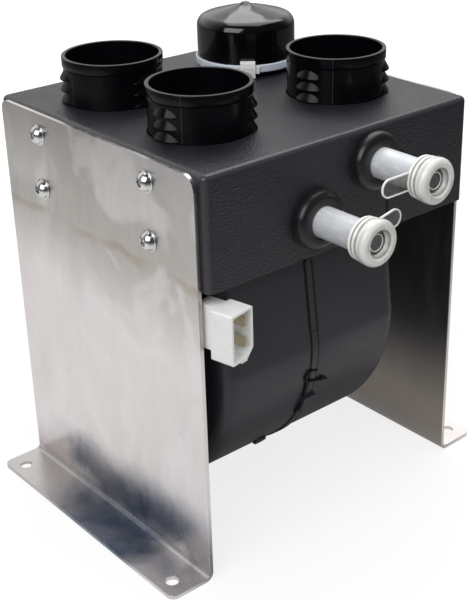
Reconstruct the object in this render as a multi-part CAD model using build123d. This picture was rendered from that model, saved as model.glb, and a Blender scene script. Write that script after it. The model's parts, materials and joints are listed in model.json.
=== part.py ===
from build123d import *
import math
import os

# Cab heater unit: a flat black air case on two folded sheet brackets, with a water-heated
# core inside, a twin-inlet blower hung below, and four round duct spigots on top.
# Millimetres. +Z up, the floor at z = 0, the front (water pipes, plug) towards -Y.
# The origin is the middle of the four foot holes, at floor level.

# ---- air case ----
case_width = 200.0
case_depth = 198.5
case_height = 65.5
case_top_z = 252.5
case_front_y = -100.0
case_wall = 2.5
case_corner_r = 4.0
case_top_edge_r = 3.0
base_plate_thickness = 2.0
base_flange_height = 24.0
base_flange_thickness = 1.5
base_gap = 0.2

# ---- folded brackets ----
bracket_sheet = 2.5
bracket_depth = 188.0
bracket_top_below_case = 1.0
bracket_bend_r = 3.0
bracket_front_corner_r = 9.0
bracket_back_corner_r = 6.0
foot_reach = 28.0
foot_corner_r = 5.0
foot_hole_r = 4.0
foot_hole_inset = 18.5
foot_hole_spacing_y = 163.0

# ---- bracket screws and nuts ----
screw_shank_r = 3.0
screw_head_r = 5.9
screw_head_height = 5.2
screw_flange_r = 6.4
screw_flange_thickness = 0.8
screw_socket_flats = 4.0
screw_socket_depth = 2.6
screw_spacing_y = 106.5
screw_upper_below_top = 14.0
screw_lower_above_bottom = 17.5
screw_clearance = 0.2
screw_past_nut = 1.0
nut_flats = 10.0
nut_thickness = 5.0
nut_thread_gap = 0.05

# ---- duct spigots ----
spigot_outer_r = 30.0
spigot_wall = 1.8
spigot_height = 27.0
spigot_spacing_x = 104.0
spigot_front_y = -37.0
spigot_back_y = 46.0
spigot_collar_height = 6.0
spigot_recess = 0.6
spigot_flange_r = 35.0
spigot_flange_thickness = 2.0
spigot_hole_gap = 0.15
lug_reach = 2.0
lug_height = 5.5
lug_round_r = 13.2
lug_pitch = 6.8
lug_rows = 3
lug_groups = 3
lug_first_drop = 13.0
lug_first_angles = {"front_left": 189.5, "front_right": 192.0, "back_left": 158.0}

# ---- blanking cap and cable tie on the back right spigot ----
blank_wall = 1.4
blank_fit = 0.1
blank_base_gap = 0.6
blank_side_height = 26.5
blank_shoulder_width = 8.0
blank_shoulder_height = 7.5
blank_cone_height = 5.0
blank_nipple_r = 2.6
blank_nipple_height = 2.0
tie_width = 4.8
tie_thickness = 1.3
tie_height = 3.2
tie_gap = 0.05
tie_head_width = 9.4
tie_head_depth = 4.5
tie_head_height = 10.2
tie_head_angle = 231.0

# ---- water pipes, grommets and transport caps ----
pipe_outer_r = 9.0
pipe_wall = 1.2
pipe_left_x = -23.7
pipe_left_above_bottom = 22.1
pipe_right_x = 20.4
pipe_right_below_top = 20.4
pipe_reach = 44.4
grommet_r = 17.3
grommet_proud = 7.2
grommet_neck_r = 13.0
grommet_inner_r = 16.0
grommet_inner_thickness = 2.5
grommet_edge_r = 4.5
grommet_gap = 0.05
cap_start = 36.2
cap_end = 49.8
cap_ring_r = 13.2
cap_body_r = 11.2
cap_ring_count = 2
cap_ring_width = 2.2
cap_ring_step = 0.45
cap_rim_width = 7.0
cap_edge_r = 3.0
cap_recess_r = 6.8
cap_recess_depth = 4.0
cap_fit = 0.06
tag_left_reach = 28.5
tag_right_reach = 31.5
tag_width = 11.0
tag_thickness = 1.2
tag_tip_r = 5.2
tag_from_start = 0.8
tag_left_lift = 12.0
tag_right_lift = 0.0

# ---- heater core ----
core_side_gap = 3.8
core_front_gap = 7.5
core_back_gap = 10.0
tank_depth = 18.0
tank_wall = 1.5
tube_count = 12
tube_thickness = 2.4
tube_wall = 0.4
side_plate_thickness = 1.2
fin_thickness = 0.4
fin_folds = 22
fin_gap = 0.1
seal_width = 14.0
seal_gap = 0.2
seal_lower_thickness = 9.5
seal_upper_thickness = 5.3

# ---- blower housing ----
scroll_left_gap = 12.0
scroll_right_gap = 54.0
scroll_seam_x = -23.0
scroll_wall = 2.0
scroll_r = 97.5
scroll_centre_below_case = 57.0
scroll_front_gap = 1.0
scroll_step = 12.0
scroll_lean_angle = 6.84
scroll_end_r = 9.0
scroll_seam_width = 4.8
scroll_seam_proud = 0.8
scroll_top_flange = 6.0
tongue_angle = 64.0
inlet_r = 46.0
inlet_lip_r = 4.0
clip_length = 12.0
clip_width = 9.0
clip_thickness = 2.0
clip_angles = (205.0, 258.0, 312.0)
clip_gap = 0.05
drain_left_of_seam = 19.0
drain_angle = 226.0
drain_r = 4.5
drain_height = 2.0
small_screw_r = 2.0
small_screw_head_r = 4.0
small_screw_head_height = 2.2
small_screw_length = 9.0
small_screw_gap = 0.05
small_screw_inset = 18.0

# ---- blower wheel, motor and shaft ----
wheel_r = 58.0
wheel_inner_r = 46.5
wheel_end_gap = 8.5
blade_count = 28
blade_thickness = 1.2
blade_sweep = 10.0
wheel_disc_thickness = 2.4
wheel_ring_width = 3.0
hub_r = 9.0
hub_length = 16.0
shaft_r = 4.0
shaft_gap = 0.03
hub_grip = 0.01
hub_clip_thickness = 1.5
hub_clip_width = 3.0
shaft_past_hub = 3.0
shaft_end_gap = 0.5
motor_r = 31.0
motor_wall = 2.0
motor_edge_r = 3.0
motor_length = 61.0
motor_to_wheel = 6.0
magnet_thickness = 6.0
magnet_arc = 130.0
magnet_overhang = 2.0
armature_r = 22.2
armature_length = 18.0
winding_r = 18.0
winding_length = 6.0
winding_bore_gap = 3.0
winding_gap = 1.0
commutator_r = 10.0
commutator_length = 9.0
brush_size = 6.0
brush_gap = 0.3
brush_spring_room = 4.0
brush_guide_wall = 1.5
brush_guide_gap = 0.1
bearing_r = 8.0
bearing_length = 7.0
mount_ring_wall = 3.0
mount_ring_width = 12.0
mount_sleeve = 1.5
mount_arm_width = 10.0
mount_arm_thickness = 3.0
mount_arm_reach = 60.0
mount_arm_count = 3

# ---- plug-in connector ----
plug_width = 17.8
plug_height = 29.4
plug_depth = 14.8
plug_wall = 1.6
plug_floor = 2.5
plug_yaw = 11.7
plug_side_gap = 2.6
plug_proud = 15.0
plug_below_case = 7.8
plug_chamfer = 5.0
plug_edge_r = 1.0
plug_rib = 1.2
plug_tail_inset = 4.0
plug_tail_gap = 1.1
plug_tail_depth = 11.7
plug_tail_drop = 3.0
plug_rib_width = 5.0
plug_rib_offset = 7.5
plug_key = 2.4
plug_key_height = 4.0
terminal_height = 6.3
terminal_plate = 0.8
terminal_recess = 1.0
terminal_side = 12.6
terminal_upper_drop = 7.8
terminal_pitch = 12.4
terminal_tail = 4.0
holder_depth = 5.5
holder_length = 14.0
holder_height = 14.0
holder_inset = 1.0

# ---- worked out from the sizes above ----
case_bottom_z = case_top_z - case_height
case_mid_y = case_front_y + case_depth / 2
case_back_y = case_front_y + case_depth
case_side_x = case_width / 2
bracket_outer_x = case_side_x + bracket_sheet
bracket_top_z = case_top_z - bracket_top_below_case
base_flange_x = case_side_x - case_wall - base_gap - base_flange_thickness
screw_tip_x = base_flange_x - nut_thickness - screw_past_nut
screw_zs = (case_top_z - screw_upper_below_top, case_bottom_z + screw_lower_above_bottom)
screw_ys = (-screw_spacing_y / 2, screw_spacing_y / 2)
spigot_places = {
    "front_left": (-spigot_spacing_x / 2, spigot_front_y),
    "front_right": (spigot_spacing_x / 2, spigot_front_y),
    "back_left": (-spigot_spacing_x / 2, spigot_back_y),
    "back_right": (spigot_spacing_x / 2, spigot_back_y),
}
blank_inner_r = spigot_outer_r + blank_fit
pipe_places = {
    "left": (pipe_left_x, case_bottom_z + pipe_left_above_bottom),
    "right": (pipe_right_x, case_top_z - pipe_right_below_top),
}
core_half_width = screw_tip_x - core_side_gap
core_front_y = case_front_y + case_wall + core_front_gap
core_back_y = case_back_y - case_wall - core_back_gap
core_bottom_z = case_bottom_z + base_plate_thickness + seal_lower_thickness
core_top_z = case_top_z - case_wall - spigot_flange_thickness - seal_gap - seal_upper_thickness
scroll_centre_z = case_bottom_z - scroll_centre_below_case
scroll_front_y = case_front_y + scroll_front_gap
scroll_y = scroll_front_y + scroll_r
scroll_left_x = -case_side_x + scroll_left_gap
scroll_right_x = case_side_x - scroll_right_gap
wheel_x = (scroll_left_x + scroll_right_x) / 2
wheel_half_width = (scroll_right_x - scroll_left_x) / 2 - wheel_end_gap
hub_left_x = wheel_x - wheel_disc_thickness
fan_y = scroll_y + scroll_step / 2
fan_z = scroll_centre_z - scroll_step / 2
motor_front_x = wheel_x - motor_to_wheel
motor_back_x = motor_front_x - motor_length
plug_left_x = -case_side_x + plug_side_gap
plug_top_z = case_bottom_z - plug_below_case


def save(shape, name):
    """Write one named sub-part."""
    shape.label = name
    export_step(shape, f"parts/{name}.step")


def group(pieces):
    """Several separate solids as one sub-part."""
    return Compound([solid for piece in pieces for solid in piece.solids()])


def box_between(low, high):
    """A block from its low corner to its high corner."""
    size = [b - a for a, b in zip(low, high)]
    middle = [(a + b) / 2 for a, b in zip(low, high)]
    return Pos(*middle) * Box(*size)


def rod_x(x0, x1, y, z, r):
    """A round rod along X."""
    return Pos((x0 + x1) / 2, y, z) * Rot(0, 90, 0) * Cylinder(r, x1 - x0)


def rod_y(y0, y1, x, z, r):
    """A round rod along Y."""
    return Pos(x, (y0 + y1) / 2, z) * Rot(90, 0, 0) * Cylinder(r, y1 - y0)


def rod_z(z0, z1, x, y, r):
    """A round rod along Z."""
    return Pos(x, y, (z0 + z1) / 2) * Cylinder(r, z1 - z0)


def tube_x(x0, x1, y, z, r_outer, r_inner):
    """A round tube along X."""
    return rod_x(x0, x1, y, z, r_outer) - rod_x(x0 - 1, x1 + 1, y, z, r_inner)


def dome_x(x, y, z, r, height):
    """A shallow dome standing on a plane at x, pointing along +X."""
    ball_r = (r**2 + height**2) / (2 * height)
    half = math.asin(r / ball_r) / 2
    middle = (height - ball_r * (1 - math.cos(half)), ball_r * math.sin(half))
    base = Line((0, 0), (0, r))
    crown = ThreePointArc((0, r), middle, (height, 0))
    outline = make_face([base, crown, Line((height, 0), (0, 0))])
    return Pos(x, y, z) * revolve(outline, Axis.X)


# ---- air case ----

def case_shell():
    """Top shell of the case, open below, with rounded corners and top edges."""
    outer = extrude(RectangleRounded(case_width, case_depth, case_corner_r), case_height)
    outer = fillet(outer.faces().sort_by(Axis.Z)[-1].edges(), case_top_edge_r)
    inner_r = case_corner_r - case_wall
    inner = extrude(
        RectangleRounded(case_width - 2 * case_wall, case_depth - 2 * case_wall, inner_r),
        case_height - case_wall,
    )
    shell = Pos(0, case_mid_y, case_bottom_z) * (outer - inner)
    for x, y in spigot_places.values():
        shell -= rod_z(case_top_z - 2 * case_wall, case_top_z + 1, x, y, spigot_outer_r + spigot_hole_gap)
    for x, z in pipe_places.values():
        shell -= rod_y(case_front_y - 1, case_front_y + 2 * case_wall, x, z, grommet_neck_r + grommet_gap)
    return shell - screw_holes()


def screw_holes():
    """Clearance holes for the eight bracket screws, right through the case."""
    reach = bracket_outer_x + 1
    holes = [
        rod_x(-reach, reach, y, z, screw_shank_r + screw_clearance)
        for y in screw_ys
        for z in screw_zs
    ]
    return group(holes)


def case_base():
    """Bottom plate of the case with turned-up side flanges and the blower opening."""
    half_x = case_side_x - case_wall - base_gap
    front_y = case_front_y + case_wall + base_gap
    back_y = case_back_y - case_wall - base_gap
    top_z = case_bottom_z + base_plate_thickness
    corner_r = case_corner_r - case_wall
    plate = extrude(RectangleRounded(2 * half_x, back_y - front_y, corner_r), base_plate_thickness)
    plate = Pos(0, case_mid_y, case_bottom_z) * plate
    for side in (-1, 1):
        low_x, high_x = sorted((side * half_x, side * base_flange_x))
        plate += box_between((low_x, front_y + case_corner_r, case_bottom_z),
                             (high_x, back_y - case_corner_r, case_bottom_z + base_flange_height))
    low_x, high_x, low_y, high_y = outlet_opening()
    plate -= box_between((low_x, low_y, case_bottom_z - 1), (high_x, high_y, top_z + 1))
    for x, y in housing_screw_places():
        plate -= rod_z(case_bottom_z - 1, top_z + 1, x, y, small_screw_r + small_screw_gap)
    return plate - screw_holes()


# ---- folded brackets ----

def bracket(side):
    """One sheet bracket: an upright plate with a foot folded outward."""
    t = bracket_sheet
    inner_r = bracket_bend_r
    outer_r = inner_r + t
    x_in = case_side_x
    x_out = bracket_outer_x
    x_foot = x_out + foot_reach
    bend = Plane.XZ * Pos(x_out + inner_r, outer_r) * (Circle(outer_r) - Circle(inner_r))
    corner = Plane.XZ * Pos(x_out + inner_r - outer_r / 2, outer_r / 2) * Rectangle(outer_r, outer_r)
    upright = Plane.XZ * Pos((x_in + x_out) / 2, (outer_r + bracket_top_z) / 2) * Rectangle(
        t, bracket_top_z - outer_r)
    foot = Plane.XZ * Pos((x_out + inner_r + x_foot) / 2, t / 2) * Rectangle(
        x_foot - x_out - inner_r, t)
    section = (bend & corner) + upright + foot
    plate = extrude(section, bracket_depth / 2, both=True)
    for end, corner_r in ((0, bracket_front_corner_r), (-1, bracket_back_corner_r)):
        top_edge = plate.edges().filter_by(Axis.X).group_by(Axis.Z)[-1].sort_by(Axis.Y)[end]
        plate = fillet(top_edge, corner_r)
    foot_edges = plate.edges().filter_by(Axis.Z).group_by(Axis.X)[-1]
    plate = fillet(foot_edges, foot_corner_r)
    hole_x = x_out + foot_hole_inset
    for y in (-foot_hole_spacing_y / 2, foot_hole_spacing_y / 2):
        plate -= rod_z(-1, t + 1, hole_x, y, foot_hole_r)
    for y in screw_ys:
        for z in screw_zs:
            plate -= rod_x(x_in - 1, x_out + 1, y, z, screw_shank_r + screw_clearance)
    return plate if side > 0 else mirror(plate, Plane.YZ)


def bracket_screw(y, z):
    """A domed socket-head screw through the right bracket."""
    x = bracket_outer_x
    shank = rod_x(screw_tip_x, x + screw_flange_thickness / 2, y, z, screw_shank_r)
    flange = rod_x(x, x + screw_flange_thickness, y, z, screw_flange_r)
    head = dome_x(x, y, z, screw_head_r, screw_head_height)
    socket = Plane.YZ * Pos(y, z) * RegularPolygon(screw_socket_flats / 2, 6, major_radius=False)
    socket = Pos(x + screw_head_height - screw_socket_depth, 0, 0) * extrude(socket, screw_socket_depth + 1)
    return shank + flange + head - socket


def bracket_nut(y, z):
    """A hex nut inside the case wall: on the wall above, on the base flange below."""
    seat_x = case_side_x - case_wall
    if z < case_bottom_z + base_flange_height:
        seat_x -= base_gap + base_flange_thickness
    nut = Plane.YZ * Pos(y, z) * (
        RegularPolygon(nut_flats / 2, 6, major_radius=False) - Circle(screw_shank_r + nut_thread_gap))
    return Pos(seat_x - nut_thickness, 0, 0) * extrude(nut, nut_thickness)


def four_on_side(maker, side):
    """Four fasteners on one bracket, as separate solids."""
    pieces = [maker(y, z) for y in screw_ys for z in screw_zs]
    if side < 0:
        pieces = [mirror(piece, Plane.YZ) for piece in pieces]
    return group(pieces)


# ---- duct spigots ----

def holding_lugs(first_angle):
    """Groups of stacked wedge lugs round a spigot, each one round in plan and widest below."""
    centre_r = spigot_outer_r + lug_reach - lug_round_r
    lug = Cone(lug_round_r, lug_round_r - lug_reach - spigot_recess, lug_height)
    lugs = []
    for side in range(lug_groups):
        angle = math.radians(first_angle + side * 360 / lug_groups)
        for row in range(lug_rows):
            middle_z = case_top_z + spigot_height - lug_first_drop - row * lug_pitch + lug_height / 2
            lugs.append(Pos(centre_r * math.cos(angle), centre_r * math.sin(angle), middle_z) * lug)
    return lugs


def spigot(x, y, first_lug_angle):
    """A duct spigot with a collar and a flange under the case top; the open ones have lugs."""
    top_z = case_top_z + spigot_height
    under_z = case_top_z - case_wall
    body = rod_z(under_z, top_z - spigot_collar_height, 0, 0, spigot_outer_r - spigot_recess)
    body += rod_z(top_z - spigot_collar_height, top_z, 0, 0, spigot_outer_r)
    body += rod_z(under_z - spigot_flange_thickness, case_top_z, 0, 0, spigot_outer_r)
    body += rod_z(under_z - spigot_flange_thickness, under_z, 0, 0, spigot_flange_r)
    if first_lug_angle is not None:
        body += holding_lugs(first_lug_angle)
    bore_r = spigot_outer_r - spigot_recess - spigot_wall
    body -= rod_z(under_z - 2 * spigot_flange_thickness, top_z + 1, 0, 0, bore_r)
    return Pos(x, y, 0) * body


def blanking_cap():
    """Soft domed cap pushed over the back right spigot."""
    x, y = spigot_places["back_right"]
    inner_r = blank_inner_r
    outer_r = inner_r + blank_wall
    low = case_top_z + blank_base_gap
    side = case_top_z + blank_side_height
    shoulder = (outer_r - blank_shoulder_width, side + blank_shoulder_height)
    half = math.sqrt(0.5)
    shoulder_mid = (outer_r - blank_shoulder_width * (1 - half), side + blank_shoulder_height * half)
    apex_z = shoulder[1] + blank_cone_height
    outline = Plane.XZ * make_face([
        Line((0, low), (outer_r, low)),
        Line((outer_r, low), (outer_r, side)),
        ThreePointArc((outer_r, side), shoulder_mid, shoulder),
        Line(shoulder, (0, apex_z)),
        Line((0, apex_z), (0, low)),
    ])
    body = revolve(outline, Axis.Z)
    nipple = rod_z(side, apex_z + blank_nipple_height, 0, 0, blank_nipple_r)
    body += fillet(nipple.faces().sort_by(Axis.Z)[-1].edges(), blank_nipple_r * 0.6)
    body -= rod_z(low - 1, case_top_z + spigot_height + blank_fit, 0, 0, inner_r)
    return Pos(x, y, 0) * body


def cable_tie():
    """Cable tie round the skirt of the blanking cap, with its locking head."""
    x, y = spigot_places["back_right"]
    inner_r = blank_inner_r + blank_wall + tie_gap
    low = case_top_z + tie_height
    strap = rod_z(low, low + tie_width, 0, 0, inner_r + tie_thickness)
    head = Box(tie_head_depth, tie_head_width, tie_head_height)
    head = fillet(head.edges().filter_by(Axis.X), 1.0)
    head = Pos(inner_r + tie_head_depth / 2, 0, low + tie_width / 2) * head
    strap += Rot(0, 0, tie_head_angle) * head
    strap -= rod_z(low - tie_head_height, low + 2 * tie_head_height, 0, 0, inner_r)
    return Pos(x, y, 0) * strap


# ---- water pipes, grommets and transport caps ----

def water_pipe(x, z):
    """Aluminium stub pipe from the core's front tank out through the case front."""
    back_y = core_front_y
    front_y = case_front_y - pipe_reach
    return rod_y(front_y, back_y, x, z, pipe_outer_r) - rod_y(
        front_y - 1, back_y + 1, x, z, pipe_outer_r - pipe_wall)


def grommet(x, z):
    """Rubber grommet with a rounded outer lip, holding the pipe in the case front."""
    front = rod_y(case_front_y - grommet_proud, case_front_y, 0, 0, grommet_r)
    front = fillet(front.faces().sort_by(Axis.Y)[0].edges(), grommet_edge_r)
    inside_y = case_front_y + case_wall
    body = front + rod_y(case_front_y - 1, inside_y + 1, 0, 0, grommet_neck_r)
    body += rod_y(inside_y, inside_y + grommet_inner_thickness, 0, 0, grommet_inner_r)
    bore = rod_y(case_front_y - 2 * grommet_proud, inside_y + 3 * grommet_inner_thickness,
                 0, 0, pipe_outer_r + grommet_gap)
    return Pos(x, 0, z) * (body - bore)


def pipe_cap(x, z, tag_side, tag_reach, tag_lift):
    """Ribbed transport cap on a pipe end, with a recessed face and a flat side tag."""
    start = case_front_y - cap_start
    end = case_front_y - cap_end
    body = rod_y(end, start, 0, 0, cap_body_r)
    body += rod_y(end, end + cap_rim_width, 0, 0, cap_ring_r)
    rim_edges = body.faces().sort_by(Axis.Y)[0].edges()
    body = fillet(rim_edges, cap_edge_r)
    ribs_span = cap_end - cap_start - cap_rim_width
    for row in range(cap_ring_count):
        low_y = start - cap_ring_width - row * ribs_span / cap_ring_count
        ring_r = cap_ring_r - cap_ring_step * (1 + row % 2)
        body += rod_y(low_y, low_y + cap_ring_width, 0, 0, ring_r)
    tag_start = cap_body_r - 1
    tag = Pos((tag_start + tag_reach) / 2, 0, 0) * Box(tag_reach - tag_start, tag_thickness, tag_width)
    tag = fillet(tag.edges().filter_by(Axis.Y).group_by(Axis.X)[-1], tag_tip_r)
    tag = Rot(0, -tag_lift, 0) * tag
    if tag_side < 0:
        tag = mirror(tag, Plane.YZ)
    body += Pos(0, start - tag_from_start, 0) * tag
    seat_y = case_front_y - pipe_reach
    body -= rod_y(seat_y - cap_fit, start + 1, 0, 0, pipe_outer_r + cap_fit)
    body -= rod_y(end - 1, end + cap_recess_depth, 0, 0, cap_recess_r)
    return Pos(x, 0, z) * body


# ---- heater core ----

def core_tank(front):
    """Hollow end tank of the core; the front one carries the pipes."""
    y0 = core_front_y if front else core_back_y - tank_depth
    y1 = y0 + tank_depth
    z0 = core_bottom_z
    z1 = core_top_z
    w = tank_wall
    tank = box_between((-core_half_width, y0, z0), (core_half_width, y1, z1))
    tank -= box_between((-core_half_width + w, y0 + w, z0 + w), (core_half_width - w, y1 - w, z1 - w))
    if front:
        for x, z in pipe_places.values():
            tank -= rod_y(y0 - 1, y0 + 2 * w, x, z, pipe_outer_r - pipe_wall)
    return tank


def tube_pitch():
    """Side-to-side spacing of the core's flat tubes."""
    return (2 * core_half_width - 2 * side_plate_thickness) / (tube_count + 1)


def core_tubes():
    """Flat water tubes between the tanks, as separate solids."""
    y0 = core_front_y + tank_depth
    y1 = core_back_y - tank_depth
    low = core_bottom_z + 2 * tank_wall
    high = core_top_z - 2 * tank_wall
    tubes = []
    for row in range(tube_count):
        x = -core_half_width + side_plate_thickness + (row + 1) * tube_pitch()
        half = tube_thickness / 2
        bore = half - tube_wall
        tubes.append(
            box_between((x - half, y0, low), (x + half, y1, high))
            - box_between((x - bore, y0 - 1, low + tube_wall), (x + bore, y1 + 1, high - tube_wall)))
    return group(tubes)


def core_fins():
    """Folded fin strips between the flat tubes, each strip a separate solid."""
    y0 = core_front_y + tank_depth + 1
    y1 = core_back_y - tank_depth - 1
    low = core_bottom_z + 3 * tank_wall
    high = core_top_z - 3 * tank_wall
    pitch = tube_pitch()
    step = (y1 - y0) / fin_folds
    strips = []
    for row in range(tube_count + 1):
        left = -core_half_width + side_plate_thickness + row * pitch
        right = left + pitch
        left += fin_gap + (tube_thickness / 2 if row > 0 else 0)
        right -= fin_gap + (tube_thickness / 2 if row < tube_count else 0)
        there = [(left if k % 2 else right - fin_thickness, y0 + k * step) for k in range(fin_folds + 1)]
        back = [(px + fin_thickness, py) for px, py in reversed(there)]
        zigzag = make_face(Polyline(*there, *back, close=True))
        strips.append(Pos(0, 0, low) * extrude(zigzag, high - low))
    return group(strips)


def core_side_plate(side):
    """Flat plate that closes one side of the core between the tanks."""
    y0 = core_front_y + tank_depth
    y1 = core_back_y - tank_depth
    x0, x1 = sorted((side * core_half_width, side * (core_half_width - side_plate_thickness)))
    return box_between((x0, y0, core_bottom_z), (x1, y1, core_top_z))


def core_seal(lower):
    """Foam frame that seats the core between base plate and case top."""
    if lower:
        z0 = case_bottom_z + base_plate_thickness
        z1 = core_bottom_z
    else:
        z0 = core_top_z
        z1 = core_top_z + seal_upper_thickness
    half = core_half_width
    outer = box_between((-half, core_front_y, z0), (half, core_back_y, z1))
    inner = box_between((-half + seal_width, core_front_y + seal_width, z0 - 1),
                        (half - seal_width, core_back_y - seal_width, z1 + 1))
    seal = outer - inner
    if lower:
        for x, y in housing_screw_places():
            seal -= rod_z(z0 - 1, z1 + 1, x, y, small_screw_head_r + seal_gap)
    return seal


# ---- blower housing ----

def scroll_wall_y(z):
    """Y of the housing's front wall at height z, above its widest point."""
    lean = math.tan(math.radians(scroll_lean_angle))
    return scroll_front_y + lean * max(0.0, z - scroll_centre_z)


def tongue_y():
    """Y where the scroll ends at its tongue, under the case."""
    r = scroll_r - 2 * scroll_step
    return scroll_y + scroll_step + r * math.cos(math.radians(tongue_angle))


def scroll_outline(inset):
    """Outline of the scroll in Y and Z: leaning front wall, then three arcs round the wheel."""
    top_z = case_bottom_z
    r1 = scroll_r - inset
    r2 = scroll_r - scroll_step - inset
    r3 = scroll_r - 2 * scroll_step - inset
    low_z = scroll_centre_z - scroll_step
    back_centre_y = scroll_y + scroll_step
    half = math.sqrt(0.5)
    front = (scroll_front_y + inset, scroll_centre_z)
    front_mid = (scroll_y - r1 * half, scroll_centre_z - r1 * half)
    bottom = (scroll_y, scroll_centre_z - r1)
    bottom_mid = (scroll_y + r2 * half, low_z - r2 * half)
    back = (scroll_y + r2, low_z)
    end_y = tongue_y() - inset
    a = math.acos((end_y - back_centre_y) / r3)
    back_mid = (back_centre_y + r3 * math.cos(a / 2), low_z + r3 * math.sin(a / 2))
    tongue = (end_y, low_z + r3 * math.sin(a))
    top_front = (scroll_wall_y(top_z) + inset, top_z)
    top_back = (end_y, top_z)
    return make_face([
        Line(top_front, front),
        ThreePointArc(front, front_mid, bottom),
        ThreePointArc(bottom, bottom_mid, back),
        ThreePointArc(back, back_mid, tongue),
        Line(tongue, top_back),
        Line(top_back, top_front),
    ])


def scroll_block(inset, x0, x1):
    """The scroll outline as a solid from x0 to x1."""
    return Pos(x0, 0, 0) * extrude(Plane.YZ * scroll_outline(inset), x1 - x0)


def round_end(block, side, r):
    """Round the end edges of a scroll block, apart from the edge under the case."""
    end_face = block.faces().filter_by(Axis.X).sort_by(Axis.X)[-1 if side > 0 else 0]
    edges = [e for e in end_face.edges() if e.center().Z < case_bottom_z - 0.5]
    return fillet(edges, r)


def outlet_opening():
    """Where the blower blows up into the case: its low and high X and Y."""
    low_x = scroll_left_x + scroll_end_r
    high_x = scroll_right_x - scroll_end_r
    low_y = scroll_wall_y(case_bottom_z) + scroll_wall + scroll_top_flange
    high_y = tongue_y() - scroll_wall - scroll_top_flange
    return low_x, high_x, low_y, high_y


def housing_screw_places():
    """Places of the screws that hold the blower's top flange to the case base."""
    low_x, high_x, low_y, high_y = outlet_opening()
    xs = (scroll_left_x + small_screw_inset, scroll_seam_x - small_screw_inset,
          scroll_seam_x + small_screw_inset, scroll_right_x - small_screw_inset)
    half = scroll_top_flange / 2
    return [(x, y) for x in xs for y in (low_y - half, high_y + half)]


def mount_angles():
    """Directions of the motor mount's arms, seen along X."""
    return [90.0 + k * 360 / mount_arm_count for k in range(mount_arm_count)]


def mount_screw_places():
    """Y and Z of the screws at the tips of the motor mount's arms."""
    r = mount_arm_reach - mount_arm_width / 2
    return [(fan_y + r * math.cos(math.radians(a)), fan_z + r * math.sin(math.radians(a)))
            for a in mount_angles()]


def scroll_half(side):
    """One half of the blower housing: wall, rounded end with a bell-mouth inlet, seam band."""
    end_x = scroll_right_x if side > 0 else scroll_left_x
    x0, x1 = sorted((scroll_seam_x, end_x))
    outer = round_end(scroll_block(0, x0, x1), side, scroll_end_r)
    if side < 0:
        outer += drain_boss()
    in0, in1 = sorted((scroll_seam_x - side * scroll_wall, end_x - side * scroll_wall))
    inner = round_end(scroll_block(scroll_wall, in0, in1), side, scroll_end_r - scroll_wall)
    flange_z = case_bottom_z - scroll_wall
    low_x, high_x, low_y, high_y = outlet_opening()
    inner -= (box_between((scroll_left_x, scroll_front_y, flange_z),
                          (scroll_right_x, tongue_y(), case_bottom_z + 1))
              - box_between((low_x, low_y, flange_z - 1), (high_x, high_y, case_bottom_z + 2)))
    band0, band1 = sorted((scroll_seam_x, scroll_seam_x + side * scroll_seam_width / 2))
    band = scroll_block(-scroll_seam_proud, band0, band1) - scroll_block(scroll_wall / 2, band0, band1)
    band &= box_between((band0, scroll_front_y - 2 * scroll_seam_proud, 0),
                        (band1, scroll_y, case_bottom_z - clip_gap))
    half = outer - inner + band
    lip_x = end_x - side * scroll_wall
    half -= rod_x(min(end_x, lip_x) - 1, max(end_x, lip_x) + 1, fan_y, fan_z, inlet_r + inlet_lip_r * 0.9)
    bead = Pos(lip_x, fan_y, fan_z) * Rot(0, 90, 0) * Torus(inlet_r + inlet_lip_r, inlet_lip_r)
    bead0, bead1 = sorted((end_x, lip_x - side * inlet_lip_r * 2))
    half += bead & rod_x(bead0, bead1, fan_y, fan_z, inlet_r + inlet_lip_r)
    for x, y in housing_screw_places():
        if x0 < x < x1:
            half -= rod_z(flange_z - 1, case_bottom_z + 1, x, y, small_screw_r + small_screw_gap)
    if side < 0:
        for y, z in mount_screw_places():
            half -= rod_x(end_x - 1, end_x + scroll_wall + 1, y, z, small_screw_r + small_screw_gap)
    return half


def drain_boss():
    """Small round boss low on the front of the blower housing."""
    boss = rod_y(scroll_r - scroll_wall / 2, scroll_r + drain_height, 0, 0, drain_r)
    boss = fillet(boss.faces().sort_by(Axis.Y)[-1].edges(), drain_height * 0.8)
    boss = Rot(drain_angle, 0, 0) * boss
    return Pos(scroll_seam_x - drain_left_of_seam, scroll_y, scroll_centre_z) * boss


def seam_clips():
    """Clips over the seam band that hold the two halves together, as separate solids."""
    clips = []
    for angle in clip_angles:
        under = angle > 270
        r = scroll_r - (scroll_step if under else 0.0)
        centre_z = scroll_centre_z - (scroll_step if under else 0.0)
        proud = 0.0 if under else scroll_seam_proud
        inner_r = r + proud + clip_gap
        half_w = clip_width / 2
        ring = tube_x(-half_w, half_w, 0, 0, inner_r + clip_thickness, inner_r)
        for side in (-1, 1):
            x0, x1 = sorted((side * (scroll_seam_width / 2 + clip_gap), side * half_w))
            ring += tube_x(x0, x1, 0, 0, inner_r + clip_thickness, r + clip_gap)
        reach = Pos(0, r, 0) * Box(2 * clip_width, 8 * clip_thickness, clip_length)
        clips.append(Pos(scroll_seam_x, scroll_y, centre_z) * (ring & Rot(angle, 0, 0) * reach))
    return group(clips)


def small_screw(x, y, z, axis_turn, length):
    """A small pan-head screw, head up, turned to its seat."""
    screw = rod_z(-length, 0.1, 0, 0, small_screw_r)
    head = rod_z(0, small_screw_head_height, 0, 0, small_screw_head_r)
    screw += fillet(head.faces().sort_by(Axis.Z)[-1].edges(), 1.0)
    return Pos(x, y, z) * axis_turn * screw


def housing_screws():
    """Screws through the case base into the blower's top flange."""
    z = case_bottom_z + base_plate_thickness
    return group([small_screw(x, y, z, Rot(0, 0, 0), small_screw_length)
                  for x, y in housing_screw_places()])


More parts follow.
